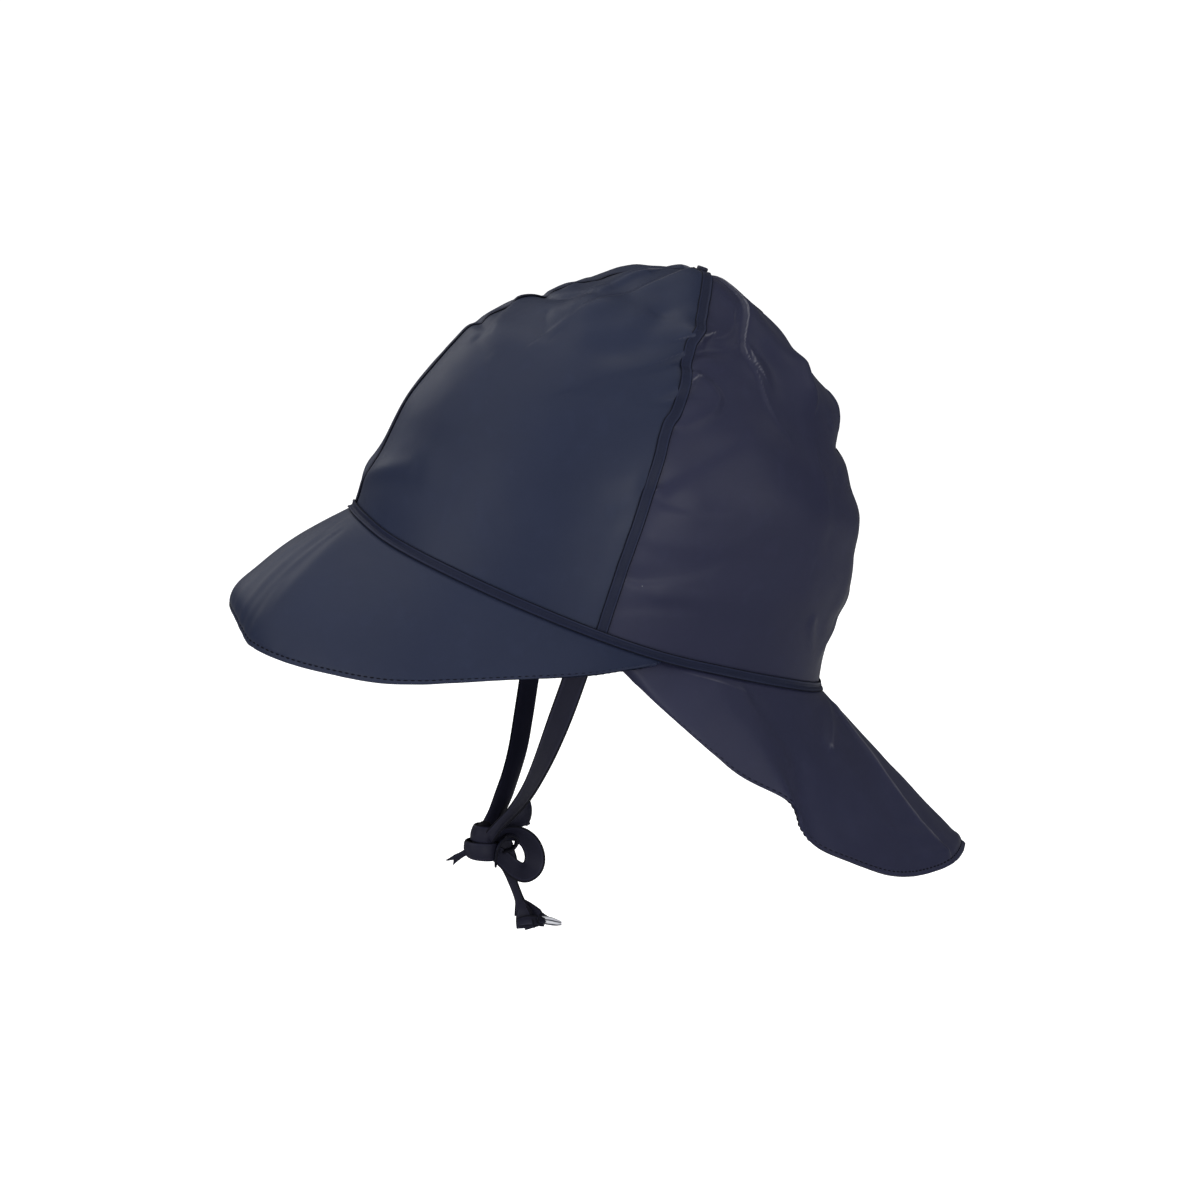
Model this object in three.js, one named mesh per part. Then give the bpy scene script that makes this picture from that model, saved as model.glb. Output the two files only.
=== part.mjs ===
// A child's rain hat of coated cloth: a crown of four gores, taped seams, a
// stitched peak, a flared neck flap and two flat ties that meet in a small bow.
// Millimetres. The brow faces -Y, the wearer's left is +X, and +Z is up.
import * as THREE from "three";
import { mergeVertices } from "three/addons/utils/BufferGeometryUtils.js";

// Driving sizes.
const HEM_TILT = THREE.MathUtils.degToRad(19.7); // the hem drops towards the nape
const CLOTH = 1.2; // wall of every cloth piece
const TAPE = 0.8; // wall of the seam and hem tapes
const GAP = 0.3; // clearance between neighbouring pieces
const HEM_TAPE_WIDTH = 4.6;
const SEAM_TAPE_WIDTH = 4.0;
const TIE_WIDTH = 8.5;

// The crown in level slices from the hem to the apex, measured from the middle
// of the head opening and square to the hem's own plane.
const CROWN_COLUMNS = ["up", "front", "rear", "half"];
const CROWN_SLICES = [
  [0, 89.8, 90.3, 70],
  [12, 89.6, 88, 71.5],
  [24, 87.6, 88, 72.5],
  [36, 86.4, 88.3, 73],
  [48, 84.4, 86, 72.5],
  [60, 80.5, 83.3, 70.5],
  [71, 76, 75.8, 67],
  [81, 71.2, 68.5, 61.8],
  [89, 62.8, 64.3, 55.5],
  [96.8, 54, 60, 49.3],
  [103, 44.8, 51, 42.5],
  [109, 36, 41.3, 35],
  [114.5, 27.5, 32, 27],
  [119.6, 15.5, 21.5, 17.5],
  [122.6, 7.5, 11, 9.3],
  [123.8, 3.6, 4, 3.6],
];

// How far the hem rises above or sinks below its plane, by angle from the brow.
const HEM_COLUMNS = ["angle", "lift", "flare"];
const HEM_LINE = [
  [0, 5, 44],
  [15, 3.2, 43],
  [30, 0.6, 39],
  [50, -1.4, 35],
  [70, -3.2, 33],
  [90, -4.6, 37],
  [104, -4.6, 37],
  [120, -3.2, 38],
  [140, -2, 41],
  [160, -2, 52],
  [180, -2.4, 62],
];

// The seam over the ears, by height along the crown from hem to apex.
const EAR_SEAM_COLUMNS = ["share", "angle"];
const EAR_SEAM = [
  [0, 87.4],
  [0.4, 87.2],
  [0.6, 87.6],
  [0.8, 89],
  [1, 90],
];

// The free edge of the peak: back, side and up in the hem's frame, and how far
// the cloth keeps its first slope before it turns to the edge.
const PEAK_COLUMNS = ["angle", "back", "side", "up", "reach"];
const PEAK_EDGE = [
  [0, -120, 0, -41.5, 0.8],
  [8, -118, 14, -44.2, 0.78],
  [20, -111.5, 31, -47.6, 0.72],
  [33, -100, 46, -49, 0.66],
  [47, -83.3, 61, -47.2, 0.6],
  [58, -67.3, 71, -43, 0.55],
  [68, -50.3, 77, -36, 0.5],
  [80, -27, 80.5, -26.4, 0.5],
  [90, -4.4, 80, -17.4, 0.5],
  [96, 7.8, 75.8, -12, 0.5],
  [100, 14.4, 72.8, -9, 0.5],
  [103, 18.5, 70.6, -7, 0.5],
];

// The free edge of the neck flap, in the same columns.
const FLAP_EDGE = [
  [88.5, 3, 67, -9, 0.4],
  [92, 9.3, 69, -13, 0.4],
  [98, 21, 73, -18.7, 0.4],
  [106, 38.5, 76, -26.2, 0.4],
  [112, 49, 77, -30.5, 0.4],
  [118, 59.5, 77.5, -34.4, 0.42],
  [125, 79.5, 76, -38, 0.45],
  [131, 88.3, 74, -45, 0.5],
  [138, 97, 71, -50.4, 0.5],
  [147, 111.5, 65, -52.3, 0.5],
  [155, 125.8, 57, -53.6, 0.5],
  [161, 136.8, 48, -52.6, 0.5],
  [168, 149.5, 34, -49.3, 0.48],
  [173, 157.5, 22, -46, 0.46],
  [177, 162.5, 10, -43, 0.45],
  [180, 165, 0, -41.5, 0.45],
];
const PEAK_END = 103;
const FLAP_START = 88.5;
const FLAP_CLEAR = 112; // from here back the flap hangs in line with the crown

// Folds of the crown: each runs from one place to another, angle from the brow
// and share of the height, with its half width and its height above the cloth.
const FOLD_COLUMNS = ["angle0", "share0", "angle1", "share1", "spread", "rise"];
const CROWN_FOLDS = [
  [28, 0.86, 38, 0.66, 9, 1.6],
  [80, 0.86, 42, 0.62, 8, 1.8],
  [84, 0.68, 52, 0.55, 7, 1.4],
  [62, 0.77, 50, 0.72, 8, -1.6],
  [80, 0.61, 62, 0.55, 8, -1.4],
  [8, 0.1, 30, 0.16, 8, 1.2],
  [104, 0.9, 128, 0.7, 7, 1.4],
  [132, 0.82, 140, 0.62, 7, 1.5],
  [118, 0.72, 122, 0.6, 8, -1.3],
  [96, 0.52, 128, 0.5, 8, -1.5],
  [100, 0.3, 130, 0.32, 12, 1.6],
  [100, 0.12, 125, 0.1, 7, 1.1],
  [160, 0.3, 158, 0.08, 7, 1.0],
];

// Folds of the neck flap, share 1 being the hem and share 0 the free edge.
const FLAP_FOLDS = [
  [168, 0.95, 164, 0.1, 8, 2.2],
  [152, 0.8, 146, 0.3, 12, -1.6],
  [118, 0.9, 128, 0.2, 10, 1.2],
  [138, 0.5, 134, 0.05, 7, -1.8],
];

// The ties and the bow under the chin, in the hat's own axes.
const KNOT_AT = [0, -38, -87.5];
const KNOT_SIZE = [9, 11, 14];
const LEFT_TIE = [
  [64.6, -5.5, 2],
  [64.6, -7.5, -5],
  [63, -11, -15],
  [57.5, -14, -27],
  [49, -17, -39],
  [39, -20, -50],
  [28, -23.5, -61],
  [17, -28, -72],
  [3.7, -35.5, -83.5],
];
const RIGHT_TIE = [
  [-64.4, -5.2, 2],
  [-64.4, -6.8, -5],
  [-63.2, -9, -16],
  [-60, -11, -28],
  [-54, -14, -40],
  [-45, -17, -49.5],
  [-34, -20.5, -59],
  [-21, -26, -69.5],
  [-3.7, -35.5, -83.5],
];
const SHORT_TAIL = [
  [-0.6, -42.9, -91.2],
  [-1.6, -46, -93.4],
  [-2.5, -50, -95.6],
];
const LONG_TAIL = [
  [-2.2, -36.2, -94.4],
  [-3, -32, -100],
  [-3.2, -28, -105.5],
  [-3, -24.2, -113.3],
];
const TAIL_KNOT_AT = [0, -22, -117.5];
const TAIL_KNOT_SIZE = [7, 13, 8];
const TAIL_WIDTH = 5; // the tails lie folded lengthways
const BOW_LOOP_AT = [3.4, -23.6, -95.6];
const BOW_LOOP_SIZE = [20, 12.5]; // long and short way, in the plane it stands in
const BOW_LOOP_DROOP = THREE.MathUtils.degToRad(-36);
const BOW_BAND = 6;
const SMALL_LOOP_AT = [-3.6, -27.8, -89];
const NUB_SIZE = [5, 3.6, 1.8]; // the folded end of the tapes at the apex
const NUB_RISE = 3.6;
const SMALL_LOOP_SIZE = [8, 7];

const CLOTH_FRONT = { color: 0x2d3446, roughness: 0.5, metalness: 0 };
const CLOTH_REAR = { color: 0x2b2c3e, roughness: 0.5, metalness: 0 };
const TAPE_FINISH = { color: 0x282a3c, roughness: 0.45, metalness: 0 };
const TIE_FINISH = { color: 0x202232, roughness: 0.5, metalness: 0 };

// Smooth curve through a table's column; the first column is the place along it.
function column(rows, names, name) {
  const at = names.indexOf(name);
  const slope = (i) => {
    const a = rows[Math.max(i - 1, 0)];
    const b = rows[Math.min(i + 1, rows.length - 1)];
    return (b[at] - a[at]) / (b[0] - a[0]);
  };
  return (x) => {
    let i = 0;
    while (i < rows.length - 2 && x > rows[i + 1][0]) i += 1;
    const span = rows[i + 1][0] - rows[i][0];
    const t = THREE.MathUtils.clamp((x - rows[i][0]) / span, 0, 1);
    const ends = (2 * t ** 3 - 3 * t ** 2 + 1) * rows[i][at] + (3 * t ** 2 - 2 * t ** 3) * rows[i + 1][at];
    const turn = (t ** 3 - 2 * t ** 2 + t) * slope(i) + (t ** 3 - t ** 2) * slope(i + 1);
    return ends + span * turn;
  };
}

const sliceRows = CROWN_SLICES.map((row, i) => [i / (CROWN_SLICES.length - 1), ...row]);
const sliceOf = (name) => column(sliceRows, ["share", ...CROWN_COLUMNS], name);
const sliceUp = sliceOf("up");
const sliceFront = sliceOf("front");
const sliceRear = sliceOf("rear");
const sliceHalf = sliceOf("half");
const hemLift = column(HEM_LINE, HEM_COLUMNS, "lift");
const hemFlare = column(HEM_LINE, HEM_COLUMNS, "flare");
const earAngle = column(EAR_SEAM, EAR_SEAM_COLUMNS, "angle");

// A point given back, side and up from the hem's plane, in the hat's own axes.
function fromHem(back, side, up) {
  const c = Math.cos(HEM_TILT);
  const s = Math.sin(HEM_TILT);
  return new THREE.Vector3(side, back * c + up * s, up * c - back * s);
}

// Angles run from the brow to the nape, positive by the left ear and negative by the right.
const signed = (angle) => (angle > 180 ? angle - 360 : angle);
const unsigned = (angle) => Math.abs(signed(angle));

// The crown before its folds, at an angle from the brow and a share of its height.
function plainCrown(angle, share) {
  const turn = THREE.MathUtils.degToRad(angle);
  const along = -Math.cos(turn);
  const length = along < 0 ? sliceFront(share) : sliceRear(share);
  const lift = hemLift(unsigned(angle)) * (1 - share) ** 4;
  return fromHem(along * length, Math.sin(turn) * sliceHalf(share), sliceUp(share) + lift);
}

function normalOf(surface, u, v) {
  const step = 1e-3;
  const u0 = Math.max(u - step, 0);
  const u1 = Math.min(u + step, 1);
  const v0 = Math.max(v - step, 0);
  const v1 = Math.min(v + step, 1);
  const across = surface(u1, v).sub(surface(u0, v));
  const up = surface(u, v1).sub(surface(u, v0));
  return across.cross(up).normalize();
}

// Height of the folds at a point, from each fold's own line laid on the surface.
function foldField(folds, surface) {
  const FOLD_STEPS = 6;
  const lines = folds.map((row) => {
    const fold = Object.fromEntries(FOLD_COLUMNS.map((name, i) => [name, row[i]]));
    const points = [];
    for (let i = 0; i <= FOLD_STEPS; i += 1) {
      const t = i / FOLD_STEPS;
      const angle = THREE.MathUtils.lerp(fold.angle0, fold.angle1, t);
      const share = THREE.MathUtils.lerp(fold.share0, fold.share1, t);
      points.push(surface(angle, share));
    }
    return { points, spread: fold.spread, rise: fold.rise };
  });
  const nearest = new THREE.Vector3();
  const piece = new THREE.Line3();
  return (point) => {
    let height = 0;
    for (const { points, spread, rise } of lines) {
      let least = Infinity;
      for (let i = 0; i < FOLD_STEPS; i += 1) {
        piece.set(points[i], points[i + 1]).closestPointToPoint(point, true, nearest);
        least = Math.min(least, nearest.distanceTo(point));
      }
      height += rise * Math.exp(-((least / spread) ** 2));
    }
    return height;
  };
}

// The outward normal of a surface that is given by angle and share.
function outwardOf(surface, angle, share) {
  const DEGREES = 0.5;
  const SHARE = 0.005;
  const patch = (u, v) => surface(
    angle + DEGREES * (2 * u - 1),
    THREE.MathUtils.clamp(share + SHARE * (2 * v - 1), 0, 1),
  );
  return normalOf(patch, 0.5, 0.5);
}

// A surface with its folds raised along its normal, the same on both sides of the
// hat. They die out towards the hem, where the tape holds the cloth flat.
function folded(surface, folds, hemAt) {
  const FADE = 0.14;
  const field = foldField(folds, surface);
  return (angle, share) => {
    const plain = surface(angle, share);
    const fade = THREE.MathUtils.smoothstep(Math.abs(share - hemAt), 0.02, FADE);
    const height = fade * field(surface(unsigned(angle), share));
    return plain.addScaledVector(outwardOf(surface, angle, share), height);
  };
}

const crownSurface = folded(plainCrown, CROWN_FOLDS, 0);

// Where the hem runs, and the way that the cloth below it sets off.
function hemStart(angle) {
  const flare = THREE.MathUtils.degToRad(hemFlare(unsigned(angle)));
  const turn = THREE.MathUtils.degToRad(angle);
  const out = fromHem(-Math.cos(turn) * sliceHalf(0), Math.sin(turn) * sliceRear(0), 0).normalize();
  const down = fromHem(0, 0, -1);
  const way = down.multiplyScalar(Math.cos(flare)).addScaledVector(out, Math.sin(flare));
  return { point: plainCrown(angle, 0), out, way };
}

// A skirt of cloth from the hem to a free edge, share 1 at the hem and 0 at the edge.
function skirt(rows, inset) {
  const START = 0.9; // the cloth's end stays clear of the crown's
  const [back, side, up, reach] = ["back", "side", "up", "reach"].map(
    (name) => column(rows, PEAK_COLUMNS, name),
  );
  return (angle, share) => {
    const from = unsigned(angle);
    const hand = Math.sign(signed(angle)) || 1;
    const { point, out, way } = hemStart(angle);
    point.addScaledVector(way, START).addScaledVector(out, -inset(from));
    const edge = fromHem(back(from), hand * side(from), up(from));
    const bend = point.clone().addScaledVector(way, reach(from) * point.distanceTo(edge));
    const rest = 1 - share;
    point.multiplyScalar(share * share);
    return point.addScaledVector(bend, 2 * share * rest).addScaledVector(edge, rest * rest);
  };
}

const tuck = (angle) => {
  const t = THREE.MathUtils.smoothstep(angle, PEAK_END + 1, FLAP_CLEAR);
  return (1 - t) * (CLOTH + 1.5 * GAP);
};
const peakSurface = skirt(PEAK_EDGE, () => 0);
const plainFlap = skirt(FLAP_EDGE, tuck);
const flapSurface = folded(plainFlap, FLAP_FOLDS, 1);

function closedBody(geometry) {
  geometry.deleteAttribute("normal");
  geometry.deleteAttribute("uv");
  const merged = mergeVertices(geometry, 1e-4);
  merged.computeVertexNormals();
  return merged;
}

// A box bent onto a surface: a closed sheet of even wall, raised off it by lift.
function sheet(surface, columns, rows, wall, lift = 0) {
  const box = new THREE.BoxGeometry(1, 1, 1, columns, rows, 1);
  const place = box.getAttribute("position");
  for (let i = 0; i < place.count; i += 1) {
    const u = place.getX(i) + 0.5;
    const v = place.getY(i) + 0.5;
    const point = surface(u, v).addScaledVector(normalOf(surface, u, v), lift + place.getZ(i) * wall);
    place.setXYZ(i, point.x, point.y, point.z);
  }
  return closedBody(box);
}

// One gore of the crown, between two seams that are given by height.
function gore(from, to) {
  const COLUMNS = 15;
  const ROWS = 16;
  const surface = (u, v) => {
    const trim = THREE.MathUtils.radToDeg((0.7 * GAP) / Math.min(sliceHalf(v), sliceFront(v)));
    const angle = THREE.MathUtils.lerp(from(v) + trim, to(v) - trim, u);
    return crownSurface(angle, v);
  };
  return sheet(surface, COLUMNS, ROWS, CLOTH);
}

// A strip of tape that lies on the crown along a line of angle and share.
function seamTape(line) {
  const STEPS = 24;
  const lift = CLOTH / 2 + GAP + TAPE / 2;
  const centre = (u) => crownSurface(...line(u));
  const surface = (u, v) => {
    const along = centre(Math.min(u + 1e-3, 1)).sub(centre(Math.max(u - 1e-3, 0))).normalize();
    const across = outwardOf(crownSurface, ...line(u)).cross(along);
    return centre(u).addScaledVector(across, (v - 0.5) * SEAM_TAPE_WIDTH);
  };
  return sheet(surface, STEPS, 1, TAPE, lift);
}

// The tape over both ears: up the left seam, across the apex and down the right.
function earTape() {
  const STEPS = 24;
  const lift = CLOTH / 2 + 2 * GAP + TAPE / 2;
  const foot = shareAbove(HEM_TAPE_WIDTH / 2 + GAP);
  const points = [];
  for (const hand of [1, -1]) {
    const side = [];
    for (let i = 0; i <= STEPS; i += 1) {
      const share = THREE.MathUtils.lerp(foot, 1, i / STEPS);
      const angle = hand * earAngle(share);
      side.push(crownSurface(angle, share).addScaledVector(outwardOf(crownSurface, angle, share), lift));
    }
    points.push(...(hand > 0 ? side : side.reverse()));
  }
  const path = new THREE.CatmullRomCurve3(points, false, "centripetal");
  const HEART = 20; // the tape faces away from a place this far above the hem
  const surface = (u, v) => {
    const out = path.getPointAt(u).sub(fromHem(0, 0, HEART)).normalize();
    const along = path.getTangentAt(u);
    const across = out.cross(along).normalize();
    return path.getPointAt(u).addScaledVector(across, (v - 0.5) * SEAM_TAPE_WIDTH);
  };
  return sheet(surface, 2 * STEPS + 4, 1, TAPE);
}

// The share of the crown's height at a distance above the hem.
function shareAbove(distance) {
  return distance / CROWN_SLICES[1][0] / (CROWN_SLICES.length - 1);
}

// The binding round the hem, bent along the hem so that it covers the top of
// the peak and flap as well as the foot of the crown.
function hemTape() {
  const SIDES = 6;
  const STEPS = 96;
  const near = CLOTH / 2 + 2 * GAP;
  const far = near + TAPE;
  const half = HEM_TAPE_WIDTH / 2;
  const section = [[-half, near], [-half, far], [0, far], [half, far], [half, near], [0, near]];
  const ring = new THREE.TorusGeometry(2, 1, SIDES, STEPS);
  const place = ring.getAttribute("position");
  const wrap = ring.getAttribute("uv");
  for (let i = 0; i < place.count; i += 1) {
    const angle = THREE.MathUtils.euclideanModulo(360 * wrap.getX(i) + 180, 360) - 180;
    const [along, off] = section[Math.round(wrap.getY(i) * SIDES) % SIDES];
    const { point, out, way } = hemStart(angle);
    const up = plainCrown(angle, shareAbove(half)).sub(point).normalize();
    const foldLine = out.clone().cross(up).normalize();
    const outAbove = up.clone().cross(foldLine);
    const outBelow = foldLine.clone().cross(way);
    const middle = outAbove.clone().add(outBelow).normalize();
    const lean = middle.dot(outAbove);
    if (along > 0) point.addScaledVector(up, along).addScaledVector(outAbove, off);
    else if (along < 0) point.addScaledVector(way, -along).addScaledVector(outBelow, off);
    else point.addScaledVector(middle, off / lean);
    place.setXYZ(i, point.x, point.y, point.z);
  }
  return closedBody(ring);
}

// A round cord through a list of points.
function cord(route, width, sides) {
  const curve = new THREE.CatmullRomCurve3(route.map((p) => new THREE.Vector3(...p)), false, "centripetal");
  const section = new THREE.Shape();
  for (let i = 0; i < sides; i += 1) {
    const turn = (2 * Math.PI * i) / sides;
    const x = (width / 2) * Math.cos(turn);
    const y = (width / 2) * Math.sin(turn);
    if (i === 0) section.moveTo(x, y);
    else section.lineTo(x, y);
  }
  const steps = Math.max(2, Math.round(curve.getLength() / (2 * width)) * 2);
  return closedBody(new THREE.ExtrudeGeometry(section, { extrudePath: curve, steps, curveSegments: 1 }));
}

function lump(size) {
  return closedBody(new THREE.SphereGeometry(0.5, 12, 8).scale(...size));
}

// A band that runs round in a closed loop and stands on its edge.
function bandLoop(across, down, band, wall) {
  const SIDES = 4;
  const STEPS = 20;
  const ring = new THREE.TorusGeometry(2, 1, SIDES, STEPS);
  const place = ring.getAttribute("position");
  const wrap = ring.getAttribute("uv");
  const corners = [[1, 1], [-1, 1], [-1, -1], [1, -1]];
  for (let i = 0; i < place.count; i += 1) {
    const turn = 2 * Math.PI * wrap.getX(i);
    const [outside, side] = corners[Math.round(wrap.getY(i) * SIDES) % SIDES];
    const y = Math.cos(turn) * (across / 2 + (outside * wall) / 2);
    const z = Math.sin(turn) * (down / 2 + (outside * wall) / 2);
    place.setXYZ(i, (side * band) / 2, y, z);
  }
  return closedBody(ring);
}

const hat = new THREE.Group();

function add(name, geometry, finish, at = [0, 0, 0]) {
  const mesh = new THREE.Mesh(geometry, new THREE.MeshStandardMaterial(finish));
  mesh.name = name;
  mesh.position.set(...at);
  hat.add(mesh);
  return mesh;
}

// Crown.
const straight = (angle) => () => angle;
const ear = (share) => earAngle(share);
const farEar = (share) => -earAngle(share);
add("crown_front_left", gore(straight(0), ear), CLOTH_FRONT);
add("crown_rear_left", gore(ear, straight(180)), CLOTH_REAR);
add("crown_front_right", gore(farEar, straight(0)), CLOTH_FRONT);
add("crown_rear_right", gore(straight(-180), farEar), CLOTH_REAR);

// Seam tapes, hem tape and the nub of folded tape at the apex.
const seamFoot = shareAbove(HEM_TAPE_WIDTH / 2 + 2 * GAP);
const seamHead = 0.965;
const overBrow = (u) => [0, THREE.MathUtils.lerp(seamFoot, seamHead, u)];
const overNape = (u) => [180, THREE.MathUtils.lerp(seamFoot, seamHead, u)];
add("ear_seam_tape", earTape(), TAPE_FINISH);
add("front_seam_tape", seamTape(overBrow), TAPE_FINISH);
add("rear_seam_tape", seamTape(overNape), TAPE_FINISH);
add("hem_tape", hemTape(), TAPE_FINISH);
const apex = fromHem(0, 0, CROWN_SLICES.at(-1)[0] + NUB_RISE);
add("apex_nub", lump(NUB_SIZE), TAPE_FINISH, apex.toArray());

// Peak and neck flap.
const peakSpan = (u, v) => peakSurface(THREE.MathUtils.lerp(-PEAK_END, PEAK_END, u), v);
add("peak", sheet(peakSpan, 48, 6, CLOTH), CLOTH_FRONT);
const flapSpan = (u, v) => flapSurface(THREE.MathUtils.lerp(FLAP_START, 360 - FLAP_START, u), v);
add("neck_flap", sheet(flapSpan, 48, 9, CLOTH), CLOTH_REAR);

// Ties and bow.
add("tie_left", cord(LEFT_TIE, TIE_WIDTH, 8), TIE_FINISH);
add("tie_right", cord(RIGHT_TIE, TIE_WIDTH, 8), TIE_FINISH);
add("bow_knot", lump(KNOT_SIZE), TIE_FINISH, KNOT_AT);
const largeLoop = add("bow_loop_large", bandLoop(...BOW_LOOP_SIZE, BOW_BAND, CLOTH), TIE_FINISH, BOW_LOOP_AT);
largeLoop.rotation.x = BOW_LOOP_DROOP;
add("bow_loop_small", bandLoop(...SMALL_LOOP_SIZE, BOW_BAND, CLOTH), TIE_FINISH, SMALL_LOOP_AT);
add("tie_tail_short", cord(SHORT_TAIL, TAIL_WIDTH, 8), TIE_FINISH);
add("tie_tail_long", cord(LONG_TAIL, TAIL_WIDTH, 8), TIE_FINISH);
add("tail_knot", lump(TAIL_KNOT_SIZE), TIE_FINISH, TAIL_KNOT_AT);

export default hat;
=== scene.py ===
"""A child's rain hat of coated cloth, with a peak, a neck flap and ties in a bow.

Metres. The brow faces -Y, the wearer's left is +X, and +Z is up. Sizes in the
tables are millimetres, and MM turns them into metres.
"""
import math

import bmesh
import bpy
import numpy as np
from mathutils import Matrix, Vector, noise


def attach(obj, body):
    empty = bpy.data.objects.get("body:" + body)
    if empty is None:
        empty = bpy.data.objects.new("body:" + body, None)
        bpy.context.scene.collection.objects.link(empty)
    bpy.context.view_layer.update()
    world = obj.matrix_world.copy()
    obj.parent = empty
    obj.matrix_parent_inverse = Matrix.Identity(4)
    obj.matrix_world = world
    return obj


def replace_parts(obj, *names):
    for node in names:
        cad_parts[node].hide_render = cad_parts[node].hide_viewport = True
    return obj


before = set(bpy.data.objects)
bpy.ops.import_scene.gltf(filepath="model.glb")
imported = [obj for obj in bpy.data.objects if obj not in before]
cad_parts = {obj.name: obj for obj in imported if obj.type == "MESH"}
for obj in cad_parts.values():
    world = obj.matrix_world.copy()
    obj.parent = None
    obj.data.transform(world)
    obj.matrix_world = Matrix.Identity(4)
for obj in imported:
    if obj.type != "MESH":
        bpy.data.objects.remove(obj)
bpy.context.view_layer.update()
collection = bpy.context.scene.collection

# The camera. A long studio lens at the hat's left, turned a little towards the
# brow and raised a little above the hem.
CAMERA_TURN = math.radians(8)
CAMERA_RISE = math.radians(8.2)
CAMERA_DISTANCE = 1.5
CAMERA_AIM = Vector((0, 0.00543, -0.000543))
CAMERA_LENS = 124.3

towards_camera = Vector((
    math.cos(CAMERA_RISE) * math.cos(CAMERA_TURN),
    -math.cos(CAMERA_RISE) * math.sin(CAMERA_TURN),
    math.sin(CAMERA_RISE),
))
camera = bpy.data.objects.new("camera", bpy.data.cameras.new("camera"))
camera.data.lens = CAMERA_LENS
camera.location = CAMERA_AIM + CAMERA_DISTANCE * towards_camera
camera.rotation_euler = towards_camera.to_track_quat("Z", "Y").to_euler()
collection.objects.link(camera)
bpy.context.scene.camera = camera
bpy.context.scene.view_settings.view_transform = "Standard"

# The ties. Two flat ribbons of the hat's own coated cloth, cut in strips and
# folded in along both edges. Each is sewn in under the hem below an ear, and
# turns on its edge where it goes into the knot.
MM = 0.001
TIE_WALL = 0.9
# Columns: x, y, z, the way across (x, y, z), width, and how far it cups.
LEFT_TIE = (
    (64.6, -5.5, 2, 0.05, 1, 0, 8.5, 0),
    (64.6, -7.5, -5, 0.05, 1, -0.1, 8.5, 0),
    (63, -11, -15, 0.1, 1, -0.2, 8.5, 0.2),
    (57.5, -15, -29, 0.3, 0.95, -0.3, 8.5, 0.3),
    (49, -18.4, -42, 0.6, 0.75, -0.35, 8.5, 0.3),
    (39, -21.6, -54, 0.8, 0.5, -0.4, 8.3, 0.6),
    (28, -25, -65, 0.9, 0.3, -0.4, 7.6, 1.3),
    (17, -29, -74, 0.9, 0.15, -0.4, 6.4, 1.8),
    (11.4, -32.6, -79.6, 0.85, 0.2, -0.5, 5.4, 1.6),
    (8.4, -35.1, -83.6, 0.6, 0.4, -0.6, 4.8, 1.2),
    (6.6, -36.6, -86.4, 0.3, 0.6, -0.6, 4.4, 0.8),
)
RIGHT_TIE = (
    (-64.4, -5.2, 2, -0.05, 1, 0, 8.5, 0),
    (-64.4, -6.8, -5, -0.05, 1, 0, 8.5, 0),
    (-63.2, -9.4, -16, -0.1, 1, 0.1, 8.5, -0.2),
    (-60, -11.6, -28, -0.3, 0.95, 0.1, 8.5, -0.3),
    (-54, -14.2, -40, -0.5, 0.8, 0.1, 8.5, -0.3),
    (-45, -17.2, -50.5, -0.6, 0.75, 0.1, 8.5, -0.5),
    (-34, -20.7, -60.5, -0.65, 0.6, 0.2, 8.2, -0.8),
    (-21, -26, -71, -0.7, 0.5, 0.3, 7.4, -1.4),
    (-9, -31.5, -79, -0.6, 0.5, 0.3, 6, -1.6),
    (-2.6, -35.5, -83.5, -0.5, 0.5, 0.3, 5, -1.4),
)


class Value:
    """A number or colour that changes over a surface, kept as its socket."""

    def __init__(self, finish, socket):
        self.finish = finish
        self.socket = socket

    def reckon(self, operation, first, second):
        return self.finish.node("ShaderNodeMath", {"operation": operation}, {0: first, 1: second})

    def __add__(self, other):
        return self.reckon("ADD", self, other)

    def __radd__(self, other):
        return self.reckon("ADD", other, self)

    def __sub__(self, other):
        return self.reckon("SUBTRACT", self, other)

    def __rsub__(self, other):
        return self.reckon("SUBTRACT", other, self)

    def __mul__(self, other):
        return self.reckon("MULTIPLY", self, other)

    def __rmul__(self, other):
        return self.reckon("MULTIPLY", other, self)

    def __lt__(self, other):
        return self.reckon("LESS_THAN", self, other)

    def __gt__(self, other):
        return self.reckon("GREATER_THAN", self, other)


class Finish:
    """One procedural material, built up from nodes."""

    def __init__(self, name):
        self.material = bpy.data.materials.new(name)
        self.material.use_nodes = True
        self.tree = self.material.node_tree
        self.surface = self.tree.nodes["Principled BSDF"]

    def feed(self, socket, value):
        if isinstance(value, Value):
            self.tree.links.new(value.socket, socket)
        else:
            socket.default_value = value

    def node(self, kind, settings=None, inputs=None, output=0):
        node = self.tree.nodes.new(kind)
        for key, value in (settings or {}).items():
            setattr(node, key, value)
        for key, value in (inputs or {}).items():
            self.feed(node.inputs[key], value)
        return Value(self, node.outputs[output])

    def cloudy(self, places, scale, detail=2.0):
        inputs = {"Vector": places, "Scale": scale, "Detail": detail}
        return self.node("ShaderNodeTexNoise", None, inputs)

    def blend(self, share, one, other):
        inputs = {0: share, 6: one, 7: other}
        return self.node("ShaderNodeMix", {"data_type": "RGBA"}, inputs, 2)

    def steps(self, value, low, high):
        inputs = {"Value": value, "From Min": low, "From Max": high}
        return self.node("ShaderNodeMapRange", {"interpolation_type": "SMOOTHSTEP"}, inputs)

    def surface_is(self, **inputs):
        for name, value in inputs.items():
            self.feed(self.surface.inputs[name.replace("_", " ")], value)


def shade(colour, share):
    return tuple(share * part for part in colour) + (1,)


PEBBLE_DEPTH = 0.00006
LINT_SPACING = 55
LINT_SIZE = 0.014
LINT = (0.2, 0.21, 0.24, 1)
CREST_HIGHLIGHT_COLOUR = (0.12, 0.12, 0.145, 1)


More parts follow.
